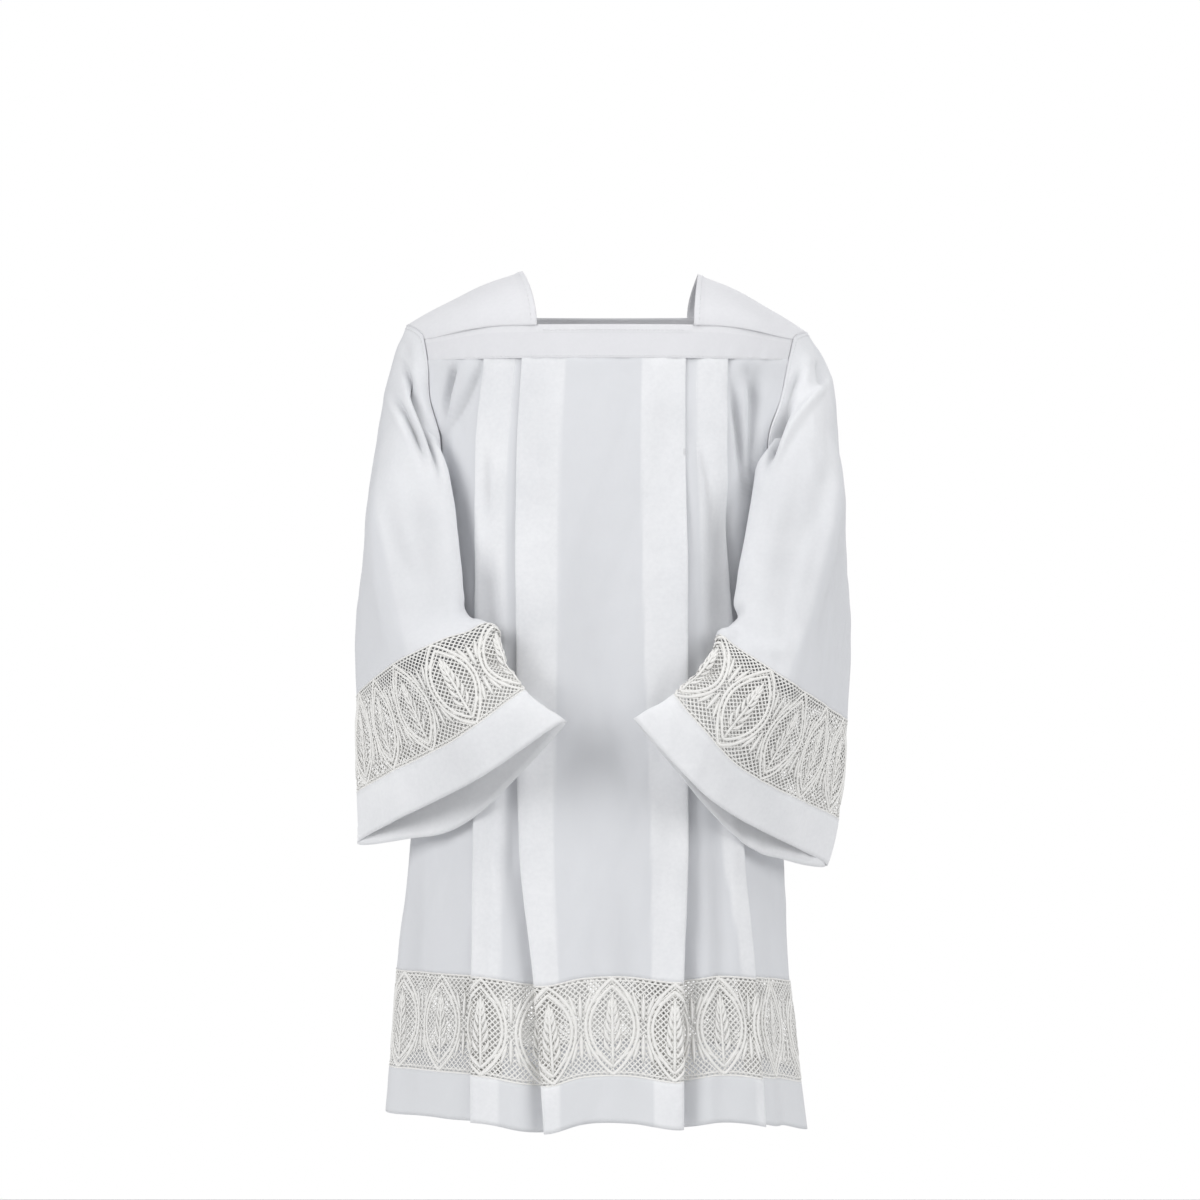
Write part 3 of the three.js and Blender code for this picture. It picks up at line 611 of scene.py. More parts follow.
def pleated_grid(side, table, z):
    """Points of a pleated wall at the given heights, the layers that show, and the painted shade of its
    creases' troughs.
    """
    ruler = Ruler(side, z)
    left = pleat_half(ruler, side, -1, z, table)
    right = pleat_half(ruler, side, 1, z, table)
    run, lift, shown = (np.concatenate([a, b[:, -2::-1]], 1) for a, b in zip(left, right))
    angle = ruler.angle_at_run(run)
    flat = body_point(side, z[:, None], angle, lift)
    hung = 1 - rise(YOKE_SEAM - 10, YOKE_SEAM, z[:, None])
    crease = hung * crease_height(BODY_CREASES, side, flat[..., 0], flat[..., 2])
    lift = lift + crease + hung * rumple(flat[..., 0], flat[..., 2])
    return body_point(side, z[:, None], angle, lift), shown, -crease / FULL_SHADE_DEPTH


# ---------------------------------------------------------------- yokes and shoulders

def yoke_top(side, u):
    """Height of a yoke's top edge: level at the neck, dipping to the armholes."""
    return mix(NECK_FRONT if side < 0 else NECK_BACK, YOKE_END, rise(0.4, 1, np.abs(u)))


def yoke_point(side, u, z, lift=YOKE_LIFT):
    """Point of a yoke's surface: u runs from the right armhole (-1) to the left one (1)."""
    limit = np.where(np.asarray(u) < 0, -armhole_angle(side, -1, z), armhole_angle(side, 1, z))
    return body_point(side, z, u * limit, lift)


def neck_corner(side, hand):
    """Place along the yoke's top edge where the square neck's corner lies."""
    u = np.linspace(0, 1, 201)
    x = yoke_point(side, hand * u, yoke_top(side, u))[:, 0]
    return u[np.argmax(np.abs(x) >= abs(SHOULDERS[hand]["front" if side < 0 else "back"]))]


def turned_edge(inward):
    """How much a turned edge stands proud at a distance inward from it: one more layer up
    to its width, ending in a short step."""
    return TURNED["thick"] * (1 - rise(TURNED["wide"] - 0.6, TURNED["wide"] + 0.6, inward))


def yoke_grid(side):
    """The band from the neck edge to the pleat seam, with the neck's narrow turned edge
    standing proud by one more layer."""
    u = np.linspace(-1, 1, 181)[None, :]
    t = np.linspace(0, 1, 22)[:, None]
    z = mix(yoke_top(side, u) - SEAM, YOKE_SEAM + SEAM, t)
    from_top = yoke_top(side, u) - z
    at_neck = (1 - rise(neck_corner(side, 1) - 0.01, neck_corner(side, 1), u)) * (
        1 - rise(neck_corner(side, -1) - 0.01, neck_corner(side, -1), -u))
    pull = 0.5 * np.sin(u * 41) * np.sin(u * 17 + 1) * rise(0.3, 0.9, t)
    return yoke_point(side, u, z, YOKE_LIFT - 0.8 + turned_edge(from_top) * at_neck + pull)


def shoulder_point(hand, t, turn):
    """The shoulder surface: a quarter oval from the yoke's top edge up to the shoulder
    line. t runs from neck to armhole, turn from front (-1) to back (1)."""
    neck, tip = (np.array(SHOULDERS[hand][name], float) for name in ("neck", "tip"))
    t, turn = np.broadcast_arrays(np.asarray(t, float), np.asarray(turn, float))
    top = neck + (tip - neck) * t[..., None]
    top[..., 2] += 5 * np.sin(math.pi * t)
    feet = []
    for side in (-1, 1):
        place = hand * mix(neck_corner(side, hand), 1, t)
        feet.append(yoke_point(side, place, yoke_top(side, place) - SHOULDER_LAP))
    foot = np.where((turn < 0)[..., None], feet[0], feet[1])
    angle = np.abs(turn) * math.pi / 2
    return np.stack([mix(top[..., 0], foot[..., 0], np.sin(angle) ** 2),
                     mix(top[..., 1], foot[..., 1], np.sin(angle)),
                     mix(foot[..., 2], top[..., 2], np.cos(angle))], -1)


def shoulder_grid(hand):
    """The shoulder surface with its turned neck edge and a faint ripple along it."""
    t = np.linspace(0, 1, 60)[None, :]
    turn = np.linspace(-1, 1, 80)[:, None]
    grid = shoulder_point(hand, t, turn)
    normal = grid_normals(grid)
    normal *= np.sign(normal[40, 30, 2])
    length = np.linalg.norm(grid[:, -1] - grid[:, 0], axis=-1)[:, None] * t
    ripple = 0.9 * np.sin(length / 17 + turn * 2.2) * np.sin(math.pi * t) ** 2
    return grid + normal * (turned_edge(length) + ripple)[..., None]


# ---------------------------------------------------------------- sleeves

def even_steps(points, count):
    """The polyline through the points, cut into equal steps of its own length."""
    length = np.concatenate([[0], np.cumsum(np.linalg.norm(np.diff(points, axis=0), axis=1))])
    want = np.linspace(0, length[-1], count)
    return np.stack([np.interp(want, length, points[:, axis]) for axis in range(3)], -1)


def armhole_ring(hand, count):
    """The armhole edge from the shoulder tip down the front to the underarm and up the
    back, in equal steps for each half, moved out by the seam's gap."""
    halves = []
    for side in (-1, 1):
        over = shoulder_point(hand, 1, side * np.linspace(0, 1, 24))
        z = np.linspace(over[-1, 2], UNDERARM, 90)
        edge = body_point(side, z, armhole_angle(side, hand, z), armhole_lift(z))
        halves.append(even_steps(np.concatenate([over, edge[1:]]), count // 2 + 1))
    ring = np.concatenate([halves[0][:-1], halves[1][::-1][:-1]])
    ring[:, 0] += hand * ARMHOLE_GAP
    ring[:, 1] *= 1 + 0.02 * rise(60, 190, -ring[:, 2])
    return ring


def section_ring(row, count):
    """One sleeve section: a closed smooth curve through its five named points."""
    turns = np.array(list(SLEEVE_TURN.values()))
    points = np.array([row[name] for name in SLEEVE_TURN], float)
    knots = np.concatenate([turns - 1, turns, turns + 1])
    return smooth(knots, np.tile(points, (3, 1)), np.arange(count) / count)


def clear_of_body(points, space):
    """Points inside the body section, grown by a space, moved straight out onto it."""
    z = np.clip(points[..., 2], HEM, YOKE_SEAM)
    left, right = column(BODY, "left", z) - space, column(BODY, "right", z) + space
    depth = np.where(points[..., 1] < 0, -column(BODY, "front", z), column(BODY, "back", z)) + space
    middle = (left + right) / 2
    x = (points[..., 0] - middle) / ((right - left) / 2)
    reach = (np.abs(x) ** ROUNDNESS + np.abs(points[..., 1] / depth) ** ROUNDNESS) ** (1 / ROUNDNESS)
    reach = np.where(space > 0, np.clip(reach, 1e-6, 1), 1)
    return np.stack([middle + (points[..., 0] - middle) / reach, points[..., 1] / reach,
                     points[..., 2]], -1)


def sleeve_grid(hand, places, count):
    """Sleeve rings at the given places: 0 is the armhole and k the k-th row of the table. Creases move
    the cloth along its own normal on the side they are seen from; their troughs get painted shade, and
    the layers' value paints the sleeve's front whiter and leaves its outer side darker, as painted
    shade."""
    rings = [section_ring(row, count) for row in SLEEVES[hand]]
    keys = np.stack([armhole_ring(hand, count)] + rings)
    grid = smooth(np.arange(len(keys)), keys, places)
    space = (SLEEVE_CLEAR * rise(0, CLEAR_FROM, places))[:, None]
    grid = clear_of_body(grid, space)
    normal = grid_normals(grid, ring=True)
    outer = normal[len(places) // 2, 0, 0]
    normal *= np.sign(outer) * hand
    free = rise(0, HELD_TO, places)[:, None]
    move = np.zeros(grid.shape[:2])
    for side in (-1, 0, 1):
        facing = np.clip(side * normal[..., 1] * 2.2, 0, 1) if side else 1.0
        move += facing * crease_height(SLEEVE_CREASES[hand], side, grid[..., 0], grid[..., 2])
    # painted shade in the creases' troughs: darker the deeper they sink, none where the armhole seam
    # holds them
    painted_fold_shade = -move * free / FULL_SHADE_DEPTH
    move += rumple(grid[..., 0] + 0.7 * grid[..., 1], grid[..., 2]) * 1.1
    # painted shade: the sleeve's front, facing the lights, is painted whiter through the layers' value
    # and its outer side left darker
    shade_edge = column(SLEEVE_SHADE_EDGE[hand], "x", np.clip(grid[..., 2], -470, -150))
    inner = rise(-3, 3, shade_edge - hand * grid[..., 0]) * rise(0.1, 0.4, -normal[..., 1])
    return grid + normal * (move * free)[..., None], 1 + 1.2 * inner, painted_fold_shade


# ---------------------------------------------------------------- stitches and threads

def section(sides, width, height):
    """Offsets (across, up) of a flattened thread section with the given sides."""
    turn = np.arange(sides) * 2 * math.pi / sides
    return np.stack([np.cos(turn) * width / 2, np.sin(turn) * height / 2], -1)


class Threads:
    """Threads gathered into one mesh. Each is a tube along a path on a flat band, in
    (along, down, out) of the band, put on the band's surface at the end. A face with the
    same corner twice at its end is a triangle."""

    def __init__(self, limit=None):
        self.points, self.faces, self.count, self.limit = [], [], 0, limit

    def gather(self, points, faces):
        """Keep some points with their faces, numbered on from those there already."""
        self.points.append(points)
        self.faces.append(faces + self.count)
        self.count += len(points)

    def add(self, path, width, height, sides=4, out=0.0, profile=None):
        """A tube of the given width and height along path, capped at both ends; profile
        scales both sizes along it."""
        path = np.asarray(path, float)
        tangent = np.gradient(path, axis=0)
        tangent /= np.maximum(np.linalg.norm(tangent, axis=1, keepdims=True), TINY)
        across = np.stack([-tangent[:, 1], tangent[:, 0]], -1)
        size = np.ones(len(path)) if profile is None else np.asarray(profile, float)
        offsets = section(sides, width, height)
        flat = path[:, None] + across[:, None] * offsets[None, :, :1] * size[:, None, None]
        up = out + offsets[None, :, 1] * size[:, None]
        tube = np.concatenate([flat, up[..., None]], -1).reshape(-1, 3)
        row, col = np.meshgrid(np.arange(len(path) - 1), np.arange(sides), indexing="ij")
        after = (col + 1) % sides
        faces = [np.stack([row * sides + col, row * sides + after, (row + 1) * sides + after,
                           (row + 1) * sides + col], -1).reshape(-1, 4)]
        for end in (np.arange(sides)[::-1], (len(path) - 1) * sides + np.arange(sides)):
            faces.append(np.stack([np.full(sides - 2, end[0]), end[1:-1], end[2:], end[2:]], -1))
        self.gather(tube, np.concatenate(faces))

    def lay(self, path, *size, **more):
        """A thread along the stretches of a path that lie on the band, or along all of
        it where the band is a ring."""
        path = np.asarray(path, float)
        if self.limit is None:
            return self.add(path, *size, **more)
        inside = np.concatenate([[False], (path[:, 0] > 0) & (path[:, 0] < self.limit), [False]])
        turns = np.flatnonzero(inside[1:] != inside[:-1])
        profile = more.pop("profile", None)
        for start, stop in turns.reshape(-1, 2):
            if stop - start > 2:
                part = None if profile is None else profile[start:stop]
                self.add(path[start:stop], *size, profile=part, **more)

    def knots(self, places, reach, height):
        """A flat eight-faced knot at each place: four points round it, one above and one
        below."""
        spread = np.array([(reach, 0), (0, reach), (-reach, 0), (0, -reach), (0, 0), (0, 0)])
        up = np.array([0, 0, 0, 0, height, -height]) / 2
        points = np.concatenate([places[:, None] + spread,
                                 np.broadcast_to(up[:, None], (len(places), 6, 1))], -1)
        around = np.arange(4)
        after = (around + 1) % 4
        top = np.stack([around, after, np.full(4, 4), np.full(4, 4)], -1)
        low = np.stack([after, around, np.full(4, 5), np.full(4, 5)], -1)
        faces = np.concatenate([top, low]) + 6 * np.arange(len(places))[:, None, None]
        self.gather(points.reshape(-1, 3), faces.reshape(-1, 4))


class Surface:
    """A grid of points read as a band: along its columns, down its rows and out along
    its normals, all in millimetres of the cloth's own lengths."""

    def __init__(self, grid, outward, ring=False):
        if ring:
            grid = np.concatenate([grid, grid[:, :1]], 1)
        self.grid, self.ring = grid, ring
        self.normal = grid_normals(grid) * outward
        if ring:
            seam = self.normal[:, 0] + self.normal[:, -1]
            seam /= np.linalg.norm(seam, axis=-1, keepdims=True)
            self.normal[:, 0] = self.normal[:, -1] = seam
        self.along, self.down = run_lengths(grid), run_lengths(grid.transpose(1, 0, 2))
        self.length, self.height = self.along[-1], self.down[-1]

    def place(self, points):
        """Points given as (along, down, out): the grid is read between its rows and
        columns in proportion."""
        along = np.mod(points[:, 0], self.length) if self.ring else points[:, 0]
        col = np.interp(along, self.along, np.arange(len(self.along)))
        row = np.interp(points[:, 1], self.down, np.arange(len(self.down)))
        c = np.minimum(col.astype(int), len(self.along) - 2)
        r = np.minimum(row.astype(int), len(self.down) - 2)
        u, v = (col - c)[:, None], (row - r)[:, None]
        read = lambda table: ((1 - u) * (1 - v) * table[r, c] + u * (1 - v) * table[r, c + 1]
                              + (1 - u) * v * table[r + 1, c] + u * v * table[r + 1, c + 1])
        normal = read(self.normal)
        normal /= np.maximum(np.linalg.norm(normal, axis=1, keepdims=True), TINY)
        return read(self.grid) + normal * points[:, 2:]


def thread_piece(name, parts):
    """One object from several sets of threads, each put on its own surface."""
    points, faces, count = [], [], 0
    for threads, surface in parts:
        points.append(surface.place(np.concatenate(threads.points)))
        faces.append(np.concatenate(threads.faces) + count)
        count += len(points[-1])
    faces = np.concatenate(faces)
    is_triangle = faces[:, 2] == faces[:, 3]
    return make_object(name, np.concatenate(points),
                       faces[~is_triangle].tolist() + faces[is_triangle, :3].tolist())


# ---------------------------------------------------------------- lace

def oval(half, top, tall, stations=44):
    """A closed pointed oval: its half width falls as a parabola to both tips."""
    v = np.cos(np.linspace(0, math.pi, stations // 2 + 1))
    y = tall / 2 + v * (tall / 2 - top)
    x = half * (1 - v ** 2) ** 0.92
    right, left = np.stack([x, y], -1), np.stack([-x, y], -1)[::-1]
    return np.concatenate([right[:-1], left])


def leaf(x, y, turn, long, bend=0.12):
    """A leaf's midrib from its foot, turned from straight up and bent a little."""
    steps = np.linspace(0, 1, len(LEAF_PROFILE))
    turn = math.radians(turn) * (1 + bend * 2 * steps)
    return np.stack([x + long * steps * np.sin(turn), y - long * steps * np.cos(turn)], -1)


def net(threads, length, tall, ring):
    """Crossed slanting threads with a knot at each crossing. Both families keep to one
    step along the band, so the crossings are the even points of a lattice of half steps."""
    step = NET["spacing"] * math.sqrt(2)
    if ring:
        step = length / round(length / step)
    reach = math.ceil(tall / step)
    down = np.linspace(NET["inset"], tall - NET["inset"], reach + 1)
    lines = range(round(length / step)) if ring else range(-reach, int(length / step) + reach + 1)
    for slope in (-1, 1):
        for line in lines:
            threads.lay(np.stack([line * step + slope * down, down], -1), NET["wide"], NET["thick"])
    across, fall = np.meshgrid(np.arange(int(2 * length / step + 0.5)), np.arange(int(2 * tall / step)))
    places = np.stack([across, fall], -1)[(across + fall) % 2 == 0] * step / 2
    on_band = (places[:, 1] > 2) & (places[:, 1] < tall - 2)
    on_band &= ring | ((places[:, 0] > 1) & (places[:, 0] < length - 1))
    threads.knots(places[on_band], NET["knot"], NET["knot_thick"])


def lace_cell(threads, middle, scale, tall):
    """One repeat of the lace: a pointed oval of two cords round an ear of long grains,
    and fans of leaves above and below the waist between two ovals."""
    half, top, height, foot = CELL["oval"], CELL["oval_top"], CELL["tall"], CELL["foot"]
    stretch = (scale, tall / height)

    def add(path, wide, thick, **more):
        """A thread of this repeat, stretched to its place."""
        threads.lay(np.asarray(path) * stretch + (middle, 0), wide, thick, **more)

    add(oval(half, top, height), CELL["cord"], CELL["cord_thick"], sides=6, out=0.5)
    add(oval(half - CELL["inner"], top + CELL["inner_top"], height), CELL["cord"],
        CELL["cord_thick"], sides=6, out=0.5)
    add(np.stack([np.zeros(7), np.linspace(foot, 24, 7)], -1), 2.8, 1.7, sides=6, out=0.6)
    add(leaf(0, 31, 0, 14), 4.2, 1.8, out=0.7, profile=LEAF_PROFILE)
    for row in EAR:
        for hand in (-1, 1):
            path = leaf(hand * 1.2, foot - row["y"] + 5, hand * row["turn"], row["long"], -0.25)
            add(path, 4.1, 1.8, out=0.7, profile=LEAF_PROFILE)
    for up in (1, -1):
        for row in FAN:
            for hand in ((1,) if row["x"] == 0 else (-1, 1)):
                path = leaf(hand * row["x"], -row["y"] * 0.75, hand * row["turn"], row["long"] * 0.94)
                path = path * (1, up) + (CELL["wide"] / 2, height / 2)
                add(path, row["wide"], 1.7, out=0.6, profile=LEAF_PROFILE)


def lace_piece(name, grid, outward, middle, ring=False):
    """An openwork band on a grid: the net, repeats of the lace cell from the given
    middle, two cords along each edge and, on an open band, one along each end."""
    surface = Surface(grid, outward, ring)
    length, tall = surface.length, surface.height
    threads = Threads(None if ring else length)
    net(threads, length, tall, ring)
    if ring:
        count = round(length / CELL["wide"])
        pitch, places = length / count, np.arange(count) * length / count + middle
    else:
        pitch = CELL["wide"]
        places = np.arange(middle % pitch - pitch, length + pitch, pitch)
    for place in places:
        lace_cell(threads, place, pitch / CELL["wide"], tall)
    for end in () if ring else (0.8, length - 0.8):
        edge = np.linspace(0.3, tall - 0.3, 24)
        threads.add(np.stack([np.full(24, end), edge], -1), 2.6, 1.3, out=0.2)
    edge = np.linspace(0.2, length - 0.2, int(length / 4))
    for row in EDGE_CORDS:
        for down in (row["inset"], tall - row["inset"]):
            threads.add(np.stack([edge, np.full(len(edge), down)], -1), row["wide"], 1.3,
                        out=row["out"])
    return thread_piece(name, [(threads, surface)])


# ---------------------------------------------------------------- materials

class Socket:
    """A node's output, with arithmetic that adds Math nodes to its tree."""

    def __init__(self, tree, output=None):
        self.tree, self.output = tree, output

    def node(self, kind, settings=(), output=0, **values):
        """A new node's output. Settings come first; then each named socket, or _2 for the
        third, takes its value or link."""
        made = self.tree.nodes.new(kind)
        for name, value in dict(settings).items():
            setattr(made, name, value)
        for name, value in values.items():
            key = int(name[1:]) if name[0] == "_" else name.replace("_", " ")
            if isinstance(value, Socket):
                value.feed(made.inputs[key])
            else:
                made.inputs[key].default_value = value
        return Socket(self.tree, made.outputs[output] if made.outputs else None)

    def other(self, name):
        """Another output of the same node."""
        return Socket(self.tree, self.output.node.outputs[name])

    def feed(self, target):
        """Link to another node's socket."""
        self.tree.links.new(self.output, target)

    def maths(self, operation, a, b=0.0, clamp=False):
        """A Math node on two values."""
        return self.node("ShaderNodeMath", dict(operation=operation, use_clamp=clamp), _0=a, _1=b)

    def __add__(self, other): return self.maths("ADD", self, other)
    def __radd__(self, other): return self.maths("ADD", other, self)
    def __sub__(self, other): return self.maths("SUBTRACT", self, other)
    def __rsub__(self, other): return self.maths("SUBTRACT", other, self)
    def __mul__(self, other): return self.maths("MULTIPLY", self, other)
    def __rmul__(self, other): return self.maths("MULTIPLY", other, self)
    def __truediv__(self, other): return self.maths("DIVIDE", self, other)
    def __rtruediv__(self, other): return self.maths("DIVIDE", other, self)
    def sin(self): return self.maths("SINE", self)
    def clamp(self): return self.maths("ADD", self, 0.0, clamp=True)


def new_material(name, roughness):
    """A material with its tree's Principled node and a socket to build from."""
    material = bpy.data.materials.new(name)
    material.use_nodes = True
    shader = material.node_tree.nodes["Principled BSDF"]
    shader.inputs["Roughness"].default_value = roughness
    shader.inputs["IOR"].default_value = 1.45
    return material, shader, Socket(material.node_tree)


def colour_mix(factor, first, second):
    """From the first colour at 0 to the second at 1. Sockets 6 and 7 of a Mix node are its
    two colours and output 2 is the mixed one."""
    first, second = (c if isinstance(c, Socket) else (*c, 1) for c in (first, second))
    return factor.node("ShaderNodeMix", dict(data_type="RGBA"), output=2, _0=factor, _6=first,
                       _7=second)


def noise(place, scale, detail):
    """Uneven tone at a place, in spots as small as 1 / scale of a metre."""
    return place.node("ShaderNodeTexNoise", dict(noise_dimensions="3D"), Vector=place,
                      Scale=scale, Detail=detail)


def cloth_material(name, single, layered, roughness=0.82):
    """Plain woven cloth: two crossed thread waves along the cloth's own map give the weave, a slow
    noise its slight unevenness, layers over each other look whiter, the same value painting shade on
    the sleeves' outer sides, and painted shade darkens deep folds."""
    material, shader, maker = new_material(name, roughness)
    u = maker.node("ShaderNodeSeparateXYZ", output="X",
                   Vector=maker.node("ShaderNodeUVMap", dict(uv_map="cloth"), "UV"))
    turn = 2 * math.pi / WEAVE_PITCH
    warp, weft = (u * turn).sin(), (u.other("Y") * turn).sin()
    place = maker.node("ShaderNodeTexCoord", output="Object")
    slow, fine = noise(place, 9.0, 3.0), noise(place, 260.0, 2.0)
    # the layers' value, which on the sleeves also carries painted shade on their outer sides
    plies_and_shade = maker.node("ShaderNodeAttribute", dict(attribute_name="plies_and_shade"), "Fac")
    toned = colour_mix(((plies_and_shade - 1.0) / 2.0).clamp(), single, layered)
    uneven = ((slow - 0.5) * 1.6 + 0.35 + (fine - 0.5) * 0.5).clamp()
    toned = colour_mix(uneven, toned, tuple(c * 0.972 for c in single))
    # painted shade: the fold-shade value darkens the colour in deep creases
    painted_fold_shade = maker.node("ShaderNodeAttribute", dict(attribute_name="painted_fold_shade"), "Fac")
    toned = colour_mix((painted_fold_shade * 0.55).clamp(), toned, tuple(c * 0.5 for c in single))
    toned.feed(shader.inputs["Base Color"])
    ((fine - 0.5) * 0.16 + roughness).feed(shader.inputs["Roughness"])
    bump = maker.node("ShaderNodeBump", output="Normal", Strength=0.22, Distance=0.0003,
                      Height=warp * weft * 0.5 + (fine - 0.5) * 1.6)
    bump.feed(shader.inputs["Normal"])
    shader.inputs["Sheen Weight"].default_value = 0.12
    shader.inputs["Sheen Roughness"].default_value = 0.5
    return material


def thread_material(name, light, dark, roughness):
    """Embroidery thread: fine noise between a lighter and a darker tone, with a bump of
    the same noise for its plied fibres."""
    material, shader, maker = new_material(name, roughness)
    place = maker.node("ShaderNodeTexCoord", output="Object")
    fibre, slow = noise(place, 900.0, 2.0), noise(place, 22.0, 2.0)
    toned = colour_mix((fibre * 0.7 + slow * 0.6 - 0.2).clamp(), light, dark)
    toned.feed(shader.inputs["Base Color"])
    ((fibre - 0.5) * 0.3 + roughness).feed(shader.inputs["Roughness"])
    bump = maker.node("ShaderNodeBump", output="Normal", Height=fibre, Strength=0.35,
                      Distance=0.0004)
    bump.feed(shader.inputs["Normal"])
    return material


BODY_CLOTH = cloth_material("body_cloth", (0.775, 0.785, 0.81), (0.92, 0.925, 0.94))
YOKE_CLOTH = cloth_material("yoke_cloth", (0.78, 0.78, 0.805), (0.86, 0.86, 0.88))
BAND_CLOTH = cloth_material("band_cloth", (0.785, 0.795, 0.815), (0.93, 0.935, 0.95))
LACE_THREAD = thread_material("lace_thread", (0.95, 0.94, 0.915), (0.87, 0.86, 0.835), 0.7)
SEWING_THREAD = thread_material("sewing_thread", (0.87, 0.87, 0.88), (0.76, 0.765, 0.78), 0.6)


def finish_piece(piece, slot, material, *nodes):
    """The piece takes its material, rides on the one body and stands for its CAD nodes. The slot is not
    used."""
    piece.data.materials.append(material)
    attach(piece, "root")
    if nodes:
        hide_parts(*nodes)


# ---------------------------------------------------------------- making the pieces

def heights(top, bottom, step):
    """Even heights from top to bottom, no further apart than the step."""
    return np.linspace(top, bottom, max(int(abs(top - bottom) / step) + 1, 2))


def make_band(name, node, grid, plies_and_shade, painted_fold_shade, outward, ring=False):
    """A plain band below a lace: the panel's or sleeve's cloth folded double."""
    band = cloth_piece(name, grid, plies_and_shade, painted_fold_shade, ring, outward)
    band.modifiers["thickness"].thickness = DOUBLED * MM
    finish_piece(band, "band_cloth", BAND_CLOTH, node)
    return band, grid


def make_panel(side):
    """The pleated panel, its lace and its hem band, from the yoke seam to the hem."""
    where = "front" if side < 0 else "back"
    table = FRONT_PLEATS if side < 0 else BACK_PLEATS
    z = heights(YOKE_SEAM - SEAM, LACE_TOP + SEAM, ROW_STEP[side])
    z = np.concatenate([YOKE_SEAM + TUCK * np.array([1, 0.5]), z])
    grid, plies_and_shade, painted_fold_shade = pleated_grid(side, table, z)
    panel = cloth_piece(f"{where}_panel_cloth", grid, plies_and_shade, painted_fold_shade, outward=-side)
    finish_piece(panel, "body_cloth", BODY_CLOTH, f"panel_{where}")
    lace_grid, _, _ = pleated_grid(side, table, heights(LACE_TOP + LAP, LACE_LOW - LAP, 5))
    centre = run_lengths(lace_grid)[lace_grid.shape[1] // 2]
    lace = lace_piece(f"{where}_hem_lace_thread", lace_grid, -side, centre + LACE_SHIFT[side])
    finish_piece(lace, "lace", LACE_THREAD, f"hem_lace_{where}")
    band = make_band(f"{where}_hem_band_cloth", f"hem_band_{where}",
                     *pleated_grid(side, table, heights(LACE_LOW - SEAM, HEM, 5)), -side)
    return (panel, grid), (lace, lace_grid), band


def make_yoke(side):
    """A yoke with two layers of cloth, and more along the turned neck edge."""
    where = "front" if side < 0 else "back"
    grid = yoke_grid(side)
    layers = 2 + 1.4 * (np.arange(len(grid)) / len(grid) < 0.2)[:, None] * np.ones(grid.shape[1])
    yoke = cloth_piece(f"{where}_yoke_cloth", grid, layers, outward=-side)
    finish_piece(yoke, "yoke_cloth", YOKE_CLOTH, f"yoke_{where}")
    return yoke, grid


def make_shoulder(hand):
    """A shoulder piece, doubled and with its seam allowances showing through."""
    where = "left" if hand > 0 else "right"
    grid = shoulder_grid(hand)
    shoulder = cloth_piece(f"{where}_shoulder_cloth", grid, np.full(grid.shape[:2], 2.8),
                           outward=-hand)
    finish_piece(shoulder, "yoke_cloth", YOKE_CLOTH, f"shoulder_{where}")
    return shoulder, grid


def make_sleeve(hand):
    """The sleeve, its lace and its cuff band."""
    where = "left" if hand > 0 else "right"
    places = np.concatenate([np.linspace(ARMHOLE, SLEEVE_HEAD, 58),
                             np.linspace(SLEEVE_HEAD, LACE_START, 54)[1:]])
    grid, plies_and_shade, painted_fold_shade = sleeve_grid(hand, places, AROUND)
    sleeve = cloth_piece(f"{where}_sleeve_cloth", grid, plies_and_shade, painted_fold_shade, ring=True, outward=-hand)
    finish_piece(sleeve, "body_cloth", BODY_CLOTH, f"sleeve_{where}")
    lap = LAP_PLACE * np.array([-1, 1])
    lace_grid, _, _ = sleeve_grid(hand, np.linspace(*(lap + (LACE_START, LACE_END)), 18), AROUND)
    lace = lace_piece(f"{where}_cuff_lace_thread", lace_grid, -hand, CUFF_LACE_SHIFT, ring=True)
    finish_piece(lace, "lace", LACE_THREAD, f"cuff_lace_{where}")
    band_grid, plies_and_shade, painted_fold_shade = sleeve_grid(hand, np.linspace(LACE_END, CUFF, 10), AROUND)
    band = make_band(f"{where}_cuff_band_cloth", f"cuff_band_{where}", band_grid, plies_and_shade + 2,
                     painted_fold_shade, -hand, ring=True)
    return (sleeve, grid), (lace, lace_grid), band


panels = {side: make_panel(side) for side in (-1, 1)}
yokes = {side: make_yoke(side) for side in (-1, 1)}
shoulders = {hand: make_shoulder(hand) for hand in (-1, 1)}
sleeves = {hand: make_sleeve(hand) for hand in (-1, 1)}


# ---------------------------------------------------------------- seams and stitches

def line_across(surface, down, start=0.0, end=1.0):
    """A line along a surface at a distance down from its top edge, or up from its bottom
    edge if negative, between two parts of its length."""
    along = np.arange(start * surface.length, end * surface.length + 1e-6, LINE_STEP)
    down = down if down >= 0 else surface.height + down
    return np.stack([along, np.full(len(along), down)], -1)


def stitched(surface, *paths):
    """Rows of stitches on a surface: short beads along each path, each one stitch long
    with a gap to the next."""
    threads, long = Threads(), STITCH["length"]
    for path in paths:
        length = np.concatenate([[0], np.cumsum(np.linalg.norm(np.diff(path, axis=0), axis=1))])
        for place in np.arange(STITCH["gap"] + long / 2, length[-1] - long, long + STITCH["gap"]):
            at = place + long * np.array([-0.5, 0, 0.5])
            bead = np.stack([np.interp(at, length, path[:, axis]) for axis in (0, 1)], -1)
            threads.add(bead, STITCH["width"], STITCH["height"], 4, STITCH["out"], (0.35, 1, 0.35))
    return threads, surface


def welted(surface, wide, thick, out, *paths):
    """The thickness of the allowances inside a seam, as a low roll along each path."""
    threads = Threads()
    for path in paths:
        threads.add(path, wide, thick, 4, out)
    return threads, surface


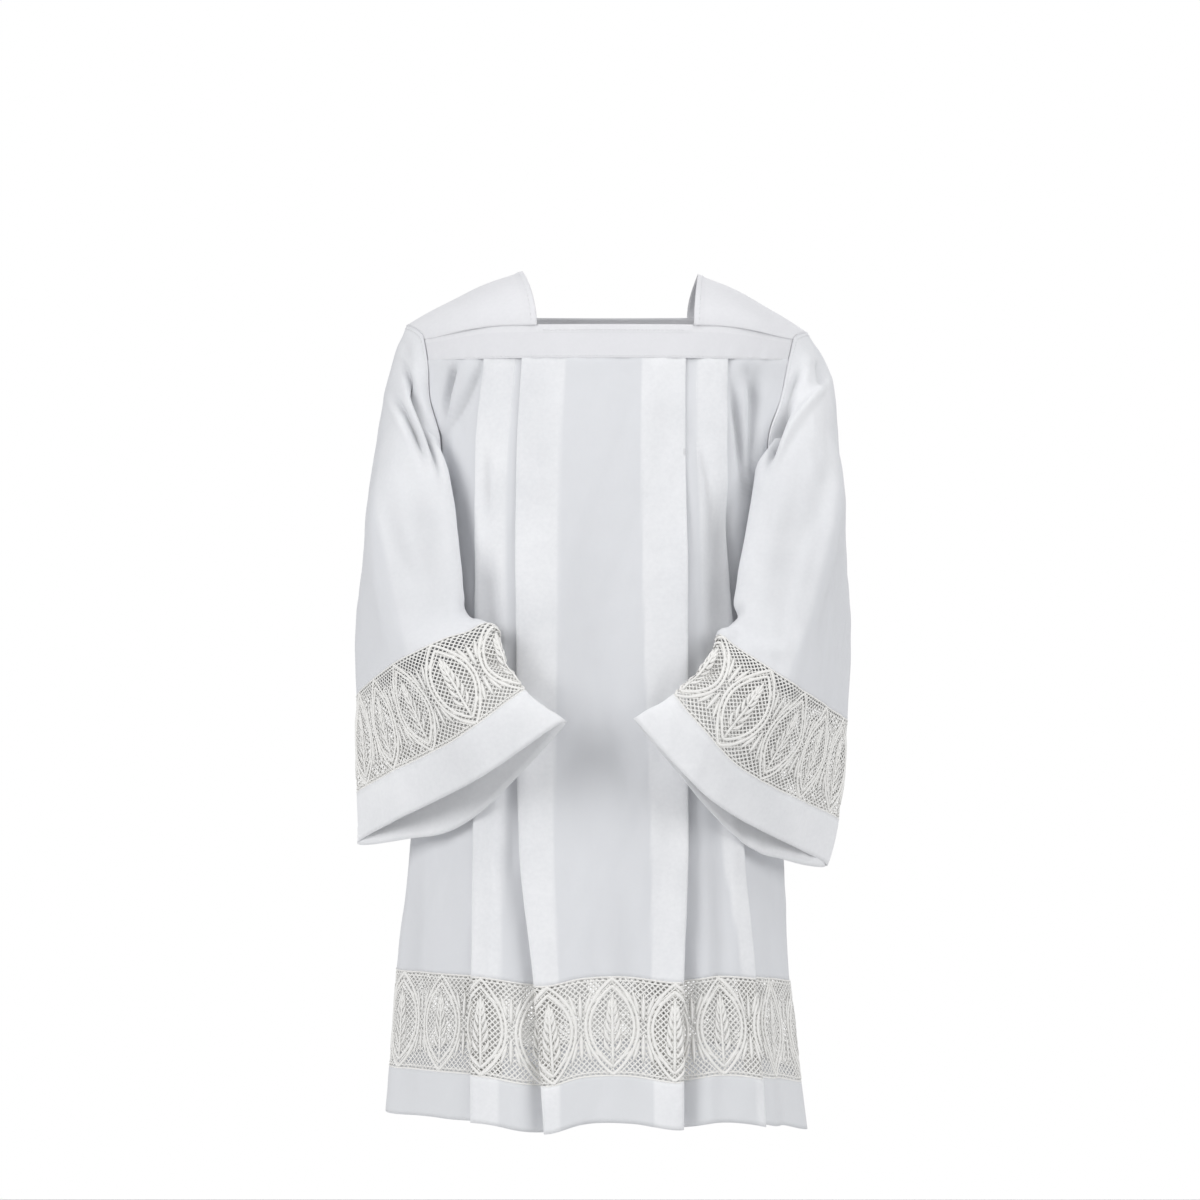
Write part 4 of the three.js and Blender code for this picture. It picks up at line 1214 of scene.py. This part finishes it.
def bartack(surface):
    """The short bar sewn across where the stitching of the third pleat ends: seven
    threads side by side."""
    row = int(np.argmin(np.abs(surface.grid[:, 0, 2] - BARTACK["z"])))
    x, y = surface.grid[row, :, 0], surface.grid[row, :, 1]
    edge = surface.along[np.argmax(np.where(x < BARTACK["x"] + 0.5, x - 0.2 * y, -999))]
    threads = Threads()
    for step in np.linspace(-BARTACK["tall"] / 2, BARTACK["tall"] / 2, 7):
        at = surface.down[row] + step
        bar = np.array([(edge - BARTACK["wide"] / 2, at), (edge, at + 0.2),
                        (edge + BARTACK["wide"] / 2, at)])
        threads.add(bar, 0.8, 0.8, 4, 0.5, (0.5, 1, 0.5))
    return threads, surface


def sew_yoke(side, welts, rows):
    """Welts along the shoulder seams and the pleat seam, stitches along the neck and
    above the pleats."""
    surface = Surface(yokes[side][1], -side)
    name = "front" if side < 0 else "back"
    start, end = np.interp([SHOULDERS[-1][name], SHOULDERS[1][name]], surface.grid[0, :, 0],
                           surface.along / surface.length)
    welts.append(welted(surface, 1.7, 0.9, 0.1, line_across(surface, 0.2, 0.0, start),
                        line_across(surface, 0.2, end, 1.0)))
    welts.append(welted(surface, 1.6, 0.8, 0.05, line_across(surface, -0.2)))
    rows.append(stitched(surface, line_across(surface, 5.4, start + 0.01, end - 0.01),
                         line_across(surface, -2.2, 0.004, 0.996)))


def sew_sleeve(hand, welts, rows):
    """A welt and stitches round the armhole, and stitches along both edges of the cuff
    band and along the shoulder piece's neck edge."""
    surface = Surface(shoulders[hand][1], -hand)
    down = np.arange(2, surface.height - 2, LINE_STEP)
    rows.append(stitched(surface, np.stack([np.full(len(down), 5.4), down], -1)))
    surface = Surface(sleeves[hand][0][1], -hand, ring=True)
    welts.append(welted(surface, 1.8, 0.9, 0.1, line_across(surface, 0.2)[:-1]))
    rows.append(stitched(surface, line_across(surface, 3.0)))
    surface = Surface(sleeves[hand][2][1], -hand, ring=True)
    rows.append(stitched(surface, line_across(surface, 2.4), line_across(surface, -3.6)))


def sew_panel(side, welts, rows):
    """Welts down both side seams, the bartack, and stitches along the hem band."""
    for _, grid in panels[side] if side < 0 else ():
        surface = Surface(grid, -side)
        down = np.arange(max(0.1, grid[0, 0, 2] - UNDERARM), surface.height, 4.0)
        for end in (0.1, surface.length - 0.1):
            path = np.stack([np.full(len(down), end), down], -1)
            welts.append(welted(surface, 1.5, 1.0, 0.1, path))
    if side < 0:
        rows.append(bartack(Surface(panels[side][0][1], -side)))
    surface = Surface(panels[side][2][1], -side)
    rows.append(stitched(surface, line_across(surface, 2.4, 0.002, 0.998),
                         line_across(surface, -3.6, 0.002, 0.998)))


welts, rows = [], []
for sew in (sew_yoke, sew_sleeve, sew_panel):
    for way in (-1, 1):
        sew(way, welts, rows)
finish_piece(thread_piece("seam_welts", welts), "yoke_cloth", YOKE_CLOTH)
finish_piece(thread_piece("seam_stitches", rows), "band_cloth", SEWING_THREAD)


# ---------------------------------------------------------------- floor, light and camera

corners = [(x, y, FLOOR["z"]) for x, y in ((-1, -1), (1, -1), (1, 1), (-1, 1))]
floor = make_object("floor", np.array(corners) * (FLOOR["half"], FLOOR["half"], 1), [(0, 1, 2, 3)])
floor_paint, floor_shader, _ = new_material("floor_paint", 0.9)
floor_shader.inputs["Base Color"].default_value = (0.86, 0.86, 0.86, 1)
floor.data.materials.append(floor_paint)

world = bpy.data.worlds.new("studio")
bpy.context.scene.world = world
world.use_nodes = True
world.node_tree.nodes.clear()
maker = Socket(world.node_tree)
soft = maker.node("ShaderNodeBackground", Color=(0.97, 0.98, 1.0, 1), Strength=0.42)
plain = maker.node("ShaderNodeBackground", Color=(1, 1, 1, 1), Strength=1.0)
seen = maker.node("ShaderNodeLightPath", output="Is Camera Ray")
blend = maker.node("ShaderNodeMixShader", _0=seen, _1=soft, _2=plain)
maker.node("ShaderNodeOutputWorld", Surface=blend)

for light in LIGHTS:
    data = bpy.data.lights.new(light["name"], "AREA")
    data.size, data.energy = light["size"], light["power"]
    lamp = bpy.data.objects.new(light["name"], data)
    bpy.context.scene.collection.objects.link(lamp)
    lamp.location = light["place"]
    aim = Vector(light["target"]) - Vector(light["place"])
    lamp.rotation_euler = aim.to_track_quat("-Z", "Y").to_euler()

camera_data = bpy.data.cameras.new("camera")
camera_data.sensor_width = 36
camera_data.lens = 36 * VIEW["distance"] / VIEW["width"]
camera_data.clip_end = 50
camera = bpy.data.objects.new("camera", camera_data)
bpy.context.scene.collection.objects.link(camera)
camera.location = (VIEW["x"] * MM, -VIEW["distance"] * MM, VIEW["z"] * MM)
camera.rotation_euler = (math.pi / 2, 0, 0)
bpy.context.scene.camera = camera
bpy.context.scene.view_settings.view_transform = "Standard"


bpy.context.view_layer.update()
